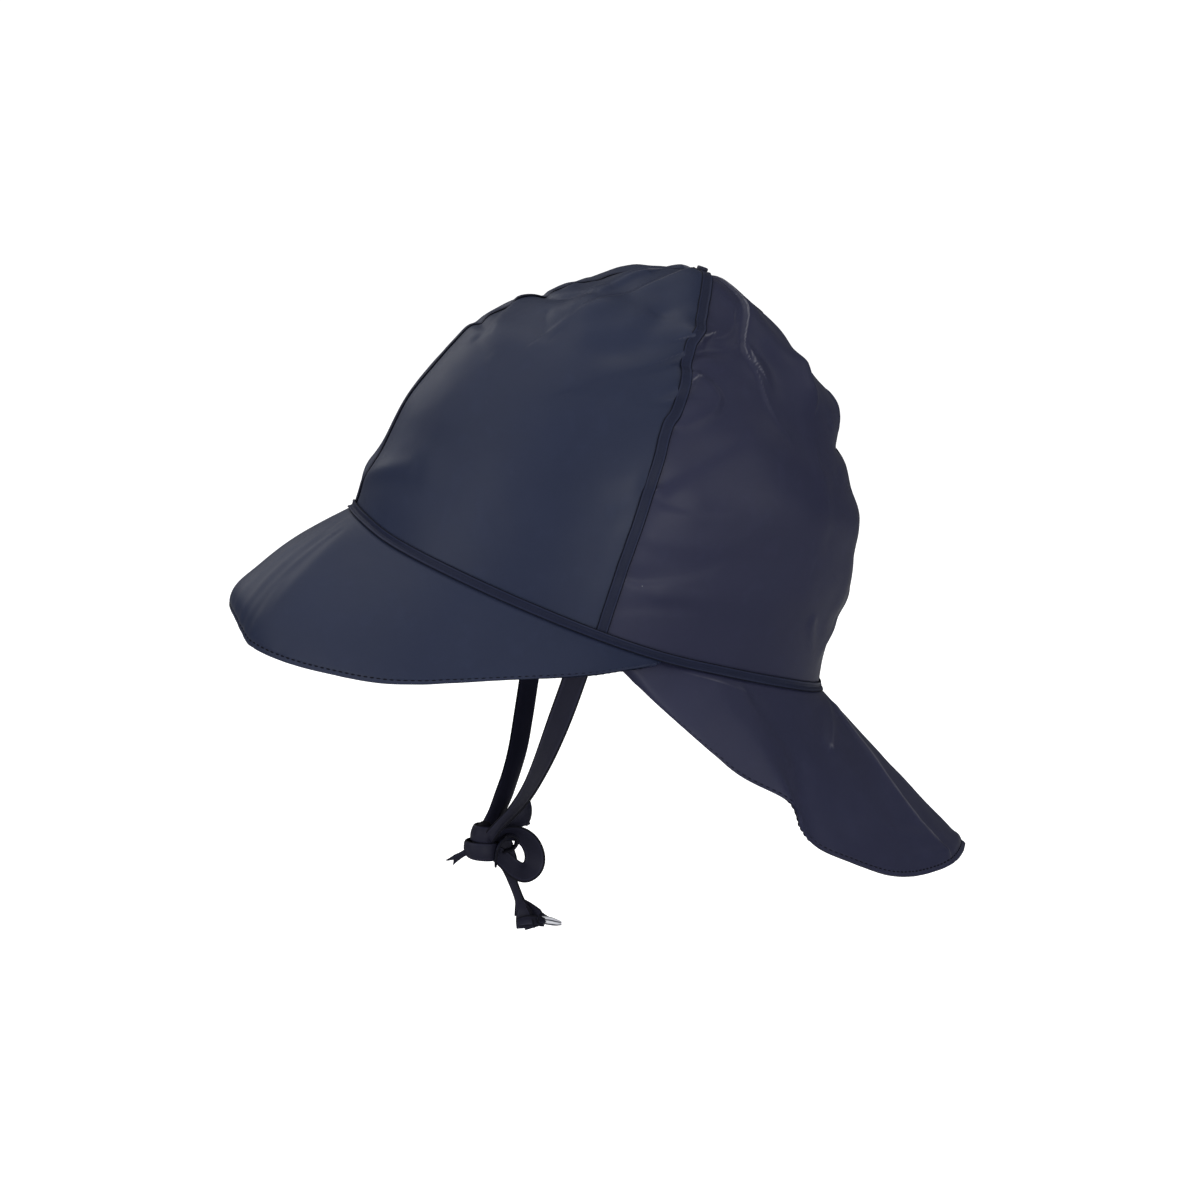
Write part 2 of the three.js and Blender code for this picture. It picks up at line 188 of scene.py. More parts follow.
def coated_cloth(name, colour):
    """Smooth skin on knit: a fine pebble, soft mottling, a little lint, and a painted highlight
    along sharp folds.
    """
    finish = Finish(name)
    places = finish.node("ShaderNodeTexCoord", output="Object")
    clouds = finish.cloudy(places, 26, 3)
    fine = finish.cloudy(places, 1500, 2)
    rub = finish.cloudy(places, 130, 4)
    mottle = finish.blend(clouds, shade(colour, 0.84), shade(colour, 1.16))
    wear_and_highlight = finish.blend(0.12 * finish.steps(rub, 0.55, 0.7), mottle, shade(colour, 1.5))
    cell = finish.node("ShaderNodeTexVoronoi", None, {"Vector": places, "Scale": LINT_SPACING})
    speck = cell < LINT_SIZE
    linted = finish.blend(0.45 * speck, wear_and_highlight, LINT)
    # Painted highlight: sharp outward folds, read from the crest mark, are painted paler and made
    # glossier.
    crest = finish.node("ShaderNodeAttribute", {"attribute_name": "crest"}, output="Fac")
    painted_crest_highlight = crest * finish.steps(crest, 0, 1)
    pebble = {"Strength": 0.45, "Distance": PEBBLE_DEPTH, "Height": 0.65 * fine + 0.35 * rub}
    bump = finish.node("ShaderNodeBump", None, pebble)
    finish.surface_is(
        Base_Color=finish.blend(0.75 * painted_crest_highlight, linted, CREST_HIGHLIGHT_COLOUR),
        Roughness=0.39 + 0.1 * clouds + 0.06 * rub - 0.1 * painted_crest_highlight,
        Specular_IOR_Level=0.17,
        Normal=bump,
    )
    return finish.material


def strip_cloth(name, colour):
    """The same cloth in folded strips, with a painted highlight along the folded edges and a
    painted shadow line at the very edges.
    """
    finish = Finish(name)
    places = finish.node("ShaderNodeTexCoord", output="Object")
    laid = finish.node("ShaderNodeUVMap", {"uv_map": "cloth"})
    across = finish.node("ShaderNodeSeparateXYZ", None, {"Vector": laid})
    clouds = finish.cloudy(places, 90, 3)
    fine = finish.cloudy(places, 1500, 2)
    from_middle = finish.node("ShaderNodeMath", {"operation": "ABSOLUTE"}, {0: across - 0.5})
    # Painted highlight along the folded edges, and a painted shadow line at the very edges.
    edge = finish.steps(from_middle, 0.3, 0.38)
    rim = finish.steps(from_middle, 0.41, 0.45)
    middle = finish.blend(clouds, shade(colour, 0.85), shade(colour, 1.15))
    edge_highlight = finish.blend(0.5 * edge, middle, shade(colour, 1.7))
    pebble = {"Strength": 0.45, "Distance": PEBBLE_DEPTH, "Height": fine}
    bump = finish.node("ShaderNodeBump", None, pebble)
    finish.surface_is(
        Base_Color=finish.blend(0.85 * rim, edge_highlight, shade(colour, 0.2)),
        Roughness=0.5 + 0.08 * clouds - 0.1 * edge + 0.3 * rim,
        Specular_IOR_Level=0.12,
        Normal=bump,
    )
    return finish.material


def column(rows, place):
    """Smooth curve through one column of a table, by the table's first column."""
    table = np.array(rows, float)
    at = table[:, 0]
    values = table[:, place]
    before = np.maximum(np.arange(len(at)) - 1, 0)
    after = np.minimum(np.arange(len(at)) + 1, len(at) - 1)
    slopes = (values[after] - values[before]) / (at[after] - at[before])

    def curve(x):
        x = np.asarray(x, float)
        i = np.clip(np.searchsorted(at, x, side="right") - 1, 0, len(at) - 2)
        span = at[i + 1] - at[i]
        t = np.clip((x - at[i]) / span, 0, 1)
        ends = (2 * t**3 - 3 * t**2 + 1) * values[i] + (3 * t**2 - 2 * t**3) * values[i + 1]
        turn = (t**3 - 2 * t**2 + t) * slopes[i] + (t**3 - t**2) * slopes[i + 1]
        return ends + span * turn

    return curve


def smooth_line(rows, count):
    """Rows spaced evenly along the smooth curve through a table of places."""
    table = np.array(rows, float)
    strides = np.linalg.norm(np.diff(table[:, :3], axis=0), axis=1)
    walked = np.concatenate([[0], np.cumsum(strides)])
    numbered = np.column_stack([walked, table])
    places = np.linspace(0, walked[-1], count)
    return np.stack([column(numbered, i + 1)(places) for i in range(table.shape[1])], axis=1)


def unit(vectors):
    return vectors / np.maximum(np.linalg.norm(vectors, axis=-1, keepdims=True), 1e-9)


def mark_crests(mesh, layer, shares, wear_and_highlight):
    """Notes how sharply the cloth bends outwards, from 0 for flat to 1, to place the painted
    highlight along sharp folds.

    wear_and_highlight: the shares between which to look, and the bends in a millimetre that count
    as 0 and 1.
    """
    FADE = 0.1  # share of the height over which the mark comes in
    low, high, flat_bend, full_bend = wear_and_highlight
    mesh.normal_update()
    for vert, share in zip(mesh.verts, shares):
        if vert.is_boundary or not low < share < high:
            continue
        bend = 0
        for edge in vert.link_edges:
            step = edge.other_vert(vert).co - vert.co
            bend -= step.dot(vert.normal) / max(step.length_squared, 1e-12)
        sharp = min(max((bend * MM - flat_bend) / (full_bend - flat_bend), 0), 1)
        vert[layer] = sharp * min((share - low) / FADE, 1)


def piece_of(name, mesh, finishes):
    """The mesh, smooth all over, as a piece of the hat with its finishes."""
    for face in mesh.faces:
        face.smooth = True
    data = bpy.data.meshes.new(name)
    mesh.to_mesh(data)
    mesh.free()
    for finish in finishes:
        data.materials.append(finish)
    piece = bpy.data.objects.new(name, data)
    collection.objects.link(piece)
    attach(piece, "root")
    return piece


def grid_piece(name, place, columns, rows, finishes, wall=0, closed=False, wear_and_highlight=None):
    """A cloth piece over place(u, v), which gives points in millimetres; wall is its thickness."""
    mesh = bmesh.new()
    mesh.loops.layers.uv.new("cloth")
    crest = mesh.verts.layers.float.new("crest")
    bmesh.ops.create_grid(mesh, x_segments=columns, y_segments=rows, size=0.5, calc_uvs=True)
    flat = np.clip(np.array([vert.co[:2] for vert in mesh.verts]) + 0.5, 0, 1)
    points = place(flat[:, 0], flat[:, 1]) * MM
    for vert, point in zip(mesh.verts, points):
        vert.co = point
    # Marks the crests that the cloth's painted highlight follows.
    if wear_and_highlight:
        mark_crests(mesh, crest, flat[:, 1], wear_and_highlight)
    if closed:
        bmesh.ops.remove_doubles(mesh, verts=mesh.verts, dist=1e-6)
    piece = piece_of(name, mesh, finishes)
    if wall:
        solid = piece.modifiers.new("wall", "SOLIDIFY")
        solid.thickness = wall * MM
        solid.offset = 0
        solid.material_offset = len(finishes) - 1
    return piece


def ribbon(name, rows, finish, wall=TIE_WALL, hems=0.35, fork=0):
    """A flat ribbon along a table of places, whose end may be cut in a fork."""
    COUNT = 54
    ACROSS = 8
    FORK_START = 0.75
    line = smooth_line(rows, COUNT + 1)
    centre = line[:, :3]
    along = unit(np.gradient(centre, axis=0))
    across = line[:, 3:6]
    across = unit(across - along * np.sum(across * along, axis=1, keepdims=True))
    off = np.cross(across, along)

    def place(u, v):
        ring = np.rint(v * COUNT).astype(int)
        side = 2 * u - 1
        width = line[ring, 6]
        cup = line[ring, 7] * (1 - side**2)
        roll = hems * np.exp(-(((np.abs(side) - 0.82) / 0.12) ** 2))
        cut_back = fork * (1 - np.abs(side)) * np.clip((v - FORK_START) / (1 - FORK_START), 0, 1)
        out = centre[ring] + across[ring] * (side * width / 2)[:, None]
        return out + off[ring] * (cup + roll)[:, None] - along[ring] * cut_back[:, None]

    piece = grid_piece(name, place, ACROSS, COUNT, [finish], wall)
    smooth = piece.modifiers.new("smooth", "SUBSURF")
    smooth.levels = 1
    smooth.render_levels = 1
    return piece, centre


def route_of(centre):
    return [tuple(point * MM) for point in centre]


tie_cloth = strip_cloth("tie_cloth", (0.0125, 0.0128, 0.0245))
tie_left, left_centre = ribbon("left_tie", LEFT_TIE, tie_cloth)
tie_right, right_centre = ribbon("right_tie", RIGHT_TIE, tie_cloth)
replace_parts(tie_left, "tie_left")
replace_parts(tie_right, "tie_right")

# The bow. The ties cross, wrap once round each other and draw through in a large
# loop and a small one. One end is cut in a fork; the other is knotted, with a
# sealed, glossy tip.
LARGE_LOOP = (
    (2, -35, -87, 0.6, 0.3, 0.8, 5.4, 0),
    (3, -30, -85.4, 0.5, -0.2, 0.85, 6.4, 0.3),
    (3.4, -25, -85.4, 0.5, 0.3, 0.85, 7.2, 0.3),
    (3.4, -21.1, -88.3, 0.5, 0.75, 0.55, 7.8, 0.4),
    (3, -19, -93.3, 0.5, 0.9, 0.05, 8.2, 0.5),
    (3, -19.6, -97.6, 0.5, 0.8, -0.4, 8.2, 0.3),
    (3.6, -22.6, -99.6, 0.5, 0.2, -0.85, 8, 0.2),
    (4.6, -26.4, -98, 0.5, -0.35, -0.8, 7.6, 0.3),
    (4.4, -30, -94.6, 0.5, -0.45, -0.75, 7, 0.4),
    (3, -34, -91.4, 0.5, -0.4, -0.75, 6, 0.4),
    (1, -37, -90, 0.6, -0.3, -0.7, 5, 0),
)
SMALL_LOOP = (
    (4, -33.4, -96, 1, 0, 0, 4.4, 0),
    (5.6, -33.2, -93.4, 1, -0.1, 0.1, 4.6, 0.3),
    (6.4, -32.6, -90, 1, -0.1, 0.1, 4.8, 0.4),
    (6.4, -30.7, -86.8, 1, 0, 0.1, 5, 0.4),
    (6, -28.2, -85.5, 1, 0.1, 0.1, 5, 0.4),
    (5.4, -26, -87, 1, 0.1, 0.1, 5, 0.3),
    (4.6, -27, -90, 1, 0, 0.1, 4.6, 0.2),
    (3, -30, -91.6, 1, 0, 0.1, 4.2, 0),
)
INNER_FOLD = (
    (0.6, -31.6, -86.4, 0.1, 1, 0.15, 6, 0),
    (1.4, -30.4, -89, 0.1, 1, 0.2, 7, 0.4),
    (1.8, -29.8, -92, 0.1, 1, 0.25, 7.4, 0.5),
    (1.8, -28.8, -95, 0.1, 1, 0.35, 7.2, 0.4),
    (1.2, -28, -97.4, 0.1, 1, 0.4, 6.4, 0),
)
BACK_FOLD = (
    (-1.6, -33.4, -85, 0.1, -0.3, 0.9, 3.4, 0),
    (-2, -29.6, -82.8, 0.1, -0.3, 0.95, 5.6, -0.3),
    (-2.4, -25.8, -80.4, 0.1, -0.1, 1, 8.4, -0.6),
    (-2.8, -22.4, -79.2, 0.1, 0.1, 1, 9.4, -0.9),
    (-4.2, -20.6, -79.2, 0.1, 0.1, 1, 9.6, -1.2),
    (-6, -21.4, -79.6, 0, 0.1, 1, 9, -0.9),
    (-6.4, -26, -82.4, 0, -0.1, 1, 7, -0.3),
)
UPPER_WRAP = (
    (0.6, -33.2, -85.2, 0, 0.2, 1, 6.4, 0.6),
    (3.9, -34.3, -85.2, 0, 0.2, 1, 6.4, 0.8),
    (5.2, -37, -85, 0, 0.25, 1, 6.4, 0.9),
    (3.9, -39.8, -84.8, 0, 0.25, 1, 6.2, 0.9),
    (0.6, -40.9, -84.8, 0, 0.25, 1, 6, 0.8),
    (-2.7, -39.8, -84.9, 0, 0.2, 1, 6, 0.7),
    (-4, -37, -85, 0, 0.2, 1, 6, 0.6),
    (-2.7, -34.3, -85.2, 0, 0.2, 1, 6, 0.6),
    (0.6, -33.2, -85.2, 0, 0.2, 1, 6, 0.6),
)
LOWER_WRAP = (
    (0.6, -31.9, -91.4, 0, 0, 1, 6.4, 0.6),
    (4.4, -33.6, -91.4, 0, 0, 1, 6.6, 0.8),
    (6, -37.6, -91.1, 0, 0, 1, 6.8, 1),
    (4.4, -41.7, -90.8, 0, -0.1, 1, 6.6, 1),
    (0.6, -43.3, -90.6, 0, -0.1, 1, 6.2, 1),
    (-3.2, -41.7, -90.6, 0, -0.1, 1, 6.2, 0.8),
    (-4.8, -37.6, -90.9, 0, 0, 1, 6.2, 0.6),
    (-3.2, -33.6, -91.2, 0, 0, 1, 6.2, 0.6),
    (0.6, -31.9, -91.4, 0, 0, 1, 6.2, 0.6),
)
SHORT_TAIL = (
    (1.4, -40.5, -90, 0.3, 0.3, 0.9, 3, 0.6),
    (0.8, -43, -91.4, 0.4, 0.3, 0.9, 2.6, 0.7),
    (0, -45.4, -92.8, 0.5, 0.3, 0.8, 2.6, 0.6),
    (-0.8, -47.4, -94.2, 0.5, 0.35, 0.8, 3.6, 0.3),
    (-1.6, -49.8, -96.2, 0.5, 0.4, 0.8, 5, 0),
)
LONG_TAIL = (
    (-1, -33, -93, 0.5, 0.8, 0.2, 5, 0.3),
    (-1.2, -30.4, -96.4, 0.6, 0.7, 0.3, 4.8, 0.4),
    (-1, -28.4, -99.8, 0.6, 0.7, 0.3, 4.4, 0.7),
    (-0.6, -26.9, -103.6, 0.6, 0.7, 0.2, 4, 0.9),
    (-0.2, -25.4, -107.6, 0.6, 0.7, 0.2, 3.8, 0.9),
    (0, -24.2, -111, 0.6, 0.7, 0.2, 4.4, 0.9),
    (0, -23.4, -113.6, 0.6, 0.7, 0.2, 6.6, 0.8),
    (0.2, -22.8, -116.2, 0.6, 0.8, 0.1, 8.2, 0.6),
)
TAIL_FOLDS = (
    (
        (0.3, -23.9, -111, 0.6, 0.7, 0.2, 3.2, 0.8),
        (0.8, -21.2, -112.6, 0.7, 0.7, 0, 5, 0.7),
        (1, -19.4, -114.4, 0.6, 0.7, -0.2, 6.6, 0.5),
        (1.2, -18.2, -116.8, 0.5, 0.7, -0.6, 7.4, 0.3),
        (0.6, -15.8, -117.4, 0.5, 0.6, -0.7, 5, 0.4),
        (0, -13.6, -118.4, 0.5, 0.5, -0.7, 3, 0.4),
    ),
    (
        (0, -23, -112.8, 0.8, 0.5, 0.1, 4, 0.8),
        (0.6, -23, -115, 0.7, 0.8, 0.1, 6, 0.6),
        (1.2, -22.6, -118, 0.5, 0.9, 0, 7, 0.5),
        (0.8, -22, -121, 0.4, 0.95, 0, 7.4, 0.2),
    ),
    (
        (-1, -22.4, -113, 0.8, 0.5, 0.1, 4, 0.8),
        (-1.6, -20.4, -116, 0.5, 0.9, 0.1, 7, 0.6),
        (-1.8, -18.6, -118.8, 0.3, 0.95, 0.1, 8.4, 0.5),
        (-1, -18, -121, 0.3, 0.95, 0, 8.6, 0.1),
    ),
    (
        (1.6, -25.2, -118.6, 0.4, 0.1, 0.9, 3.4, 0.8),
        (3.2, -21.6, -117.6, 0.3, 0.2, 0.9, 4.2, 1),
        (2.6, -17.6, -118.2, 0.3, 0.2, 0.9, 4, 0.9),
        (0.6, -14.6, -119.4, 0.3, 0.2, 0.9, 3, 0.6),
    ),
)
TIP = (
    (1, -16.6, -117.8, 0.4, 0.2, -0.9, 2.8, 0.3),
    (1.6, -14, -118.2, 0.4, 0.2, -0.9, 3.2, 0.3),
    (1.4, -11.4, -118.9, 0.4, 0.2, -0.9, 2.8, 0.3),
    (0.6, -8.9, -119.6, 0.4, 0.2, -0.9, 1.5, 0.1),
)
KNOT_LUMPS = (
    # centre, size
    ((0.6, -37, -85), (9.4, 7.6, 8.2)),
    ((0.6, -37.6, -91), (10.6, 11.2, 7)),
)
LUMP_UNEVENNESS = 0.18

for name, rows, node in (
    ("bow_large_loop", LARGE_LOOP, "bow_loop_large"),
    ("bow_small_loop", SMALL_LOOP, "bow_loop_small"),
    ("bow_back_fold", BACK_FOLD, None),
    ("bow_inner_fold", INNER_FOLD, None),
    ("bow_upper_wrap", UPPER_WRAP, "bow_knot"),
    ("bow_lower_wrap", LOWER_WRAP, "bow_knot"),
):
    piece, _ = ribbon(name, rows, tie_cloth, hems=0.2)
    if node:
        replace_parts(piece, node)

core_mesh = bmesh.new()
for at, size in KNOT_LUMPS:
    lump = bmesh.ops.create_icosphere(core_mesh, subdivisions=4, radius=0.5)["verts"]
    bmesh.ops.scale(core_mesh, vec=size, verts=lump)
    for vert in lump:
        vert.co *= 1 + LUMP_UNEVENNESS * noise.noise(vert.co / 4)
    bmesh.ops.translate(core_mesh, vec=at, verts=lump)
bmesh.ops.scale(core_mesh, vec=(MM, MM, MM), verts=core_mesh.verts)
bow_core = piece_of("bow_core", core_mesh, [tie_cloth])
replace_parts(bow_core, "bow_knot")

short_tail, _ = ribbon("short_tail", SHORT_TAIL, tie_cloth, wall=0.7, fork=2.2)
long_tail, _ = ribbon("long_tail", LONG_TAIL, tie_cloth, wall=0.8)
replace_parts(short_tail, "tie_tail_short")
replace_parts(long_tail, "tie_tail_long")
tail_folds = []
for i, rows in enumerate(TAIL_FOLDS):
    piece, _ = ribbon(f"tail_fold_{i + 1}", rows, tie_cloth, wall=0.7, hems=0.2)
    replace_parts(piece, "tail_knot")
    tail_folds.append(piece)

# The tip is glossy; its pale colour is a painted highlight, with the dark cloth colour along its
# middle and edges.
tip_glint = Finish("tip_glint")
tip_places = tip_glint.node("ShaderNodeTexCoord", output="Object")
tip_clouds = tip_glint.cloudy(tip_places, 600, 2)
tip_laid = tip_glint.node("ShaderNodeUVMap", {"uv_map": "cloth"})
tip_across = tip_glint.node("ShaderNodeSeparateXYZ", None, {"Vector": tip_laid})
tip_off_middle = tip_across - 0.5 + 0.1 * tip_clouds
tip_middle = tip_glint.node("ShaderNodeMath", {"operation": "ABSOLUTE"}, {0: tip_off_middle})
tip_streak = tip_glint.steps(tip_middle, 0.12, 0.04) + tip_glint.steps(tip_middle, 0.3, 0.42)
tip_glint.surface_is(
    Base_Color=tip_glint.blend(tip_streak, (0.7, 0.71, 0.76, 1), (0.03, 0.032, 0.05, 1)),
    Roughness=0.12 + 0.2 * tip_clouds,
)
tip, _ = ribbon("tail_tip", TIP, tip_glint.material, wall=0.5, hems=0.1)

route_of(left_centre)[0]
route_of(left_centre)
route_of(right_centre)[0]
route_of(right_centre)
[short_tail, long_tail, tip] + tail_folds

# The crown. Four gores of knit with a smooth rubbery skin, cut to a dome and sewn
# edge to edge. Off the head the cloth buckles into soft ridges that run out from
# the seams, and it draws in a little along each of them.
HEM_TILT = math.radians(19.7)
CLOTH = 1.2
CROWN_SLICES = (
    # up from the hem, front, rear, half width
    (0, 89.8, 90.3, 70),
    (12, 89.6, 88, 71.5),
    (24, 87.6, 88, 72.5),
    (36, 86.4, 88.3, 73),
    (48, 84.4, 86, 72.5),
    (60, 80.5, 83.3, 70.5),
    (71, 76, 75.8, 67),
    (81, 71.2, 68.5, 61.8),
    (89, 62.8, 64.3, 55.5),
    (96.8, 54, 60, 49.3),
    (103, 44.8, 51, 42.5),
    (109, 36, 41.3, 35),
    (114.5, 27.5, 32, 27),
    (119.6, 15.5, 21.5, 17.5),
    (122.6, 7.5, 11, 9.3),
    (123.8, 3.6, 4, 3.6),
)
HEM_LINE = (
    # angle from the brow, lift, flare of the cloth below
    (0, 5, 44),
    (15, 3.2, 43),
    (30, 0.6, 39),
    (50, -1.4, 35),
    (70, -3.2, 33),
    (90, -4.6, 37),
    (104, -4.6, 37),
    (120, -3.2, 38),
    (140, -2, 41),
    (160, -2, 52),
    (180, -2.4, 62),
)
# The ear seam by share of the height; it kinks where the cloth was eased in.
EAR_SEAM = (
    (0, 88),
    (0.125, 87.3),
    (0.23, 87.1),
    (0.33, 86.8),
    (0.39, 86.3),
    (0.415, 86.5),
    (0.435, 87.4),
    (0.48, 88),
    (0.53, 87.6),
    (0.58, 86.5),
    (0.625, 86.3),
    (0.645, 87.3),
    (0.665, 88.3),
    (0.745, 88.6),
    (0.84, 89.6),
    (1, 90),
)
# Broad folds: start, middle and end as angle and share, then width before and
# behind, and height at each end.
CROWN_FOLDS = (
    (28, 0.86, 33, 0.76, 38, 0.66, 9, 9, 1.6, 1.6),
    (80, 0.86, 61, 0.74, 42, 0.62, 8, 8, 1.8, 1.8),
    (84, 0.68, 68, 0.615, 52, 0.55, 7, 7, 1.4, 1.4),
    (62, 0.77, 56, 0.745, 50, 0.72, 8, 8, -1.6, -1.6),
    (80, 0.61, 71, 0.58, 62, 0.55, 8, 8, -1.4, -1.4),
    (8, 0.1, 19, 0.13, 30, 0.16, 8, 8, 1.2, 1.2),
    (104, 0.9, 116, 0.8, 128, 0.7, 7, 7, 1.4, 1.4),
    (132, 0.82, 136, 0.72, 140, 0.62, 7, 7, 1.5, 1.5),
    (118, 0.72, 120, 0.66, 122, 0.6, 8, 8, -1.3, -1.3),
    (96, 0.49, 112, 0.5, 128, 0.5, 9, 9, -1.1, -1.1),
    (100, 0.3, 115, 0.31, 130, 0.32, 12, 12, 1.2, 1.2),
    (100, 0.12, 112, 0.13, 125, 0.15, 8, 8, 0.6, 0.6),
    (160, 0.3, 159, 0.19, 158, 0.08, 7, 7, 1.0, 1.0),
)
# Sharper creases in the same columns.
CROWN_CREASES = (
    (89, 0.64, 79, 0.56, 60, 0.42, 7, 2, 2.3, 0.4),
    (89, 0.52, 84, 0.48, 78, 0.44, 5, 1.8, 1.4, 0.2),
    (86, 0.75, 74, 0.7, 60, 0.66, 4, 4, 1, 0.3),
    (60, 0.9, 48, 0.75, 40, 0.5, 1.8, 6, 2, 0.5),
    (30, 0.82, 34, 0.68, 41, 0.54, 6, 2, 1.5, 0.4),
    (0, 0.625, 16, 0.62, 31, 0.665, 3, 2, -1.8, -0.7),
    (4, 0.69, 18, 0.665, 30, 0.7, 4, 2, 1.1, 0.5),
    (0, 0.57, 8, 0.54, 17, 0.49, 2.4, 5, 1.6, 0.4),
    (0, 0.475, 8, 0.47, 18, 0.46, 2.4, 3, -1.9, -0.3),
    (0, 0.74, 10, 0.75, 24, 0.76, 3, 4, -0.6, -0.2),
    (69, 0.7, 69, 0.66, 68, 0.6, 5, 5, -1.5, -0.8),
    (68, 0.425, 78, 0.44, 87, 0.47, 5, 5, -0.8, -1.2),
    (28, 0.565, 35, 0.53, 41, 0.5, 3, 3, -0.8, -0.4),
    (17, 0.435, 22, 0.425, 27, 0.415, 3, 3, -0.7, -0.3),
    (0, 0.05, 12, 0.1, 25, 0.145, 3.5, 3.5, 1.5, 0.4),
    (87, 0.27, 76, 0.22, 62, 0.2, 6, 6, -0.8, -0.2),
    (140, 0.95, 115, 0.75, 113, 0.64, 1.2, 6, 1.5, 1.2),
    (113, 0.64, 116, 0.57, 124, 0.49, 1.2, 6, 1.2, 0.3),
    (172, 0.82, 152, 0.74, 146, 0.68, 6, 1.3, 0.8, 1.6),
    (146, 0.68, 143, 0.63, 141, 0.575, 5, 1.3, 1.6, 0.3),
    (89, 0.655, 100, 0.7, 107, 0.76, 1.8, 7, 1.5, 0.4),
    (90, 0.625, 101, 0.655, 109, 0.7, 3, 1.4, -1.1, -0.4),
    (91, 0.545, 99, 0.5, 90, 0.42, 6, 2.2, 1.5, 0.9),
    (90, 0.3, 97, 0.36, 107, 0.43, 3, 6, -1.4, -0.5),
    (91, 0.265, 97, 0.27, 105, 0.28, 1.5, 3.5, -0.6, -0.2),
    (91, 0.115, 98, 0.14, 107, 0.18, 1.6, 5, -0.7, -0.2),
    (89, 0.05, 96, 0.075, 105, 0.09, 1.6, 3.5, -0.55, -0.2),
    (97, 0.1, 103, 0.115, 109, 0.12, 2, 3, 0.4, 0.2),
    (90, 0.2, 100, 0.21, 112, 0.24, 4, 4, 0.5, 0.2),
    (139, 0.4, 138, 0.34, 137, 0.27, 8, 5, 0.6, 0.3),
    (181, 0.57, 171, 0.56, 158, 0.55, 7, 5, 2.2, 0.8),
    (181, 0.49, 170, 0.475, 158, 0.47, 3.5, 2.5, -2.2, -0.6),
    (181, 0.44, 170, 0.435, 156, 0.42, 3, 6, 1, 0.6),
    (181, 0.345, 168, 0.345, 155, 0.345, 7, 7, 1, 0.3),
    (178, 0.27, 172, 0.25, 166, 0.2, 1.4, 2.4, 0.7, 0.4),
    (174, 0.62, 170, 0.58, 167, 0.53, 2.4, 1.4, 0.7, 0.4),
    (181, 0.15, 170, 0.145, 158, 0.14, 4, 4, -1.5, -0.5),
    (176, 0.2, 166, 0.14, 158, 0.05, 3, 3, 1.2, 0.8),
    (145, 0.125, 150, 0.08, 155, 0.04, 2.5, 2.5, 0.8, 0.4),
)

LAST_SLICE = len(CROWN_SLICES) - 1
slice_rows = [(i / LAST_SLICE,) + row for i, row in enumerate(CROWN_SLICES)]
slice_up, slice_front, slice_rear, slice_half = (column(slice_rows, i) for i in range(1, 5))
hem_lift = column(HEM_LINE, 1)
hem_flare = column(HEM_LINE, 2)
ear_angle = column(EAR_SEAM, 1)


def from_hem(back, side, up):
    """Points given back, side and up from the hem's plane, in the hat's own axes."""
    back, side, up = np.broadcast_arrays(back, side, up)
    c = math.cos(HEM_TILT)
    s = math.sin(HEM_TILT)
    return np.stack([side, back * c + up * s, up * c - back * s], axis=-1)


def unsigned(angle):
    return np.abs(np.where(angle > 180, angle - 360, angle))


def rise_between(x, low, high):
    t = np.clip((x - low) / (high - low), 0, 1)
    return t * t * (3 - 2 * t)


def plain_crown(angle, share):
    turn = np.radians(angle)
    along = -np.cos(turn)
    length = np.where(along < 0, slice_front(share), slice_rear(share))
    lift = hem_lift(unsigned(angle)) * (1 - share) ** 4
    return from_hem(along * length, np.sin(turn) * slice_half(share), slice_up(share) + lift)


def outward(surface, angle, share, turn=0.4, climb=0.004):
    across = surface(angle + turn, share) - surface(angle - turn, share)
    low = np.clip(share - climb, 0, 1)
    high = np.clip(share + climb, 0, 1)
    return unit(np.cross(across, surface(angle, high) - surface(angle, low)))


def fold_heights(rows, surface, points, normals):
    """Height of the folds at each point, each from its own line laid on the surface."""
    STEPS = 10
    REACH = 2.6  # past this many half widths a fold has died out
    total = np.zeros(len(points))
    t = np.linspace(0, 1, STEPS + 1)
    for a0, s0, a1, s1, a2, s2, before, behind, rise0, rise1 in rows:
        angle = (1 - t) ** 2 * a0 + 2 * t * (1 - t) * (2 * a1 - (a0 + a2) / 2) + t**2 * a2
        share = (1 - t) ** 2 * s0 + 2 * t * (1 - t) * (2 * s1 - (s0 + s2) / 2) + t**2 * s2
        line = surface(angle, np.clip(share, 0, 1))
        margin = REACH * max(before, behind)
        inside = (points > line.min(0) - margin) & (points < line.max(0) + margin)
        near = np.flatnonzero(inside.all(axis=1))
        if not len(near):
            continue
        spots = points[near]
        nearest = np.full(len(near), np.inf)
        walked = np.zeros(len(near))
        side = np.zeros(len(near))
        for i in range(STEPS):
            step = line[i + 1] - line[i]
            part = np.clip((spots - line[i]) @ step / (step @ step), 0, 1)
            away = spots - line[i] - part[:, None] * step
            distance = np.linalg.norm(away, axis=1)
            closer = distance < nearest
            nearest = np.where(closer, distance, nearest)
            walked = np.where(closer, (i + part) / STEPS, walked)
            beside = np.sum(np.cross(unit(step), away) * normals[near], axis=1)
            side = np.where(closer, beside, side)
        spread = before + (behind - before) * rise_between(side, -0.6, 0.6)
        total[near] += (rise0 + (rise1 - rise0) * walked) * np.exp(-((nearest / spread) ** 2))
    return total


def buckle(points, size, height):
    """Slow, uneven swell of the cloth, the same on every run."""
    swell = [noise.noise(Vector(point) / size) for point in points]
    return height * np.array(swell)


def right_side(angle):
    """The right half is a near mirror of the left, its folds a little further forward."""
    SHIFT = 6
    place = unsigned(angle)
    hand = np.where(angle > 180, angle - 360, angle) < 0
    return place - SHIFT * hand * np.sin(np.radians(place)) ** 2


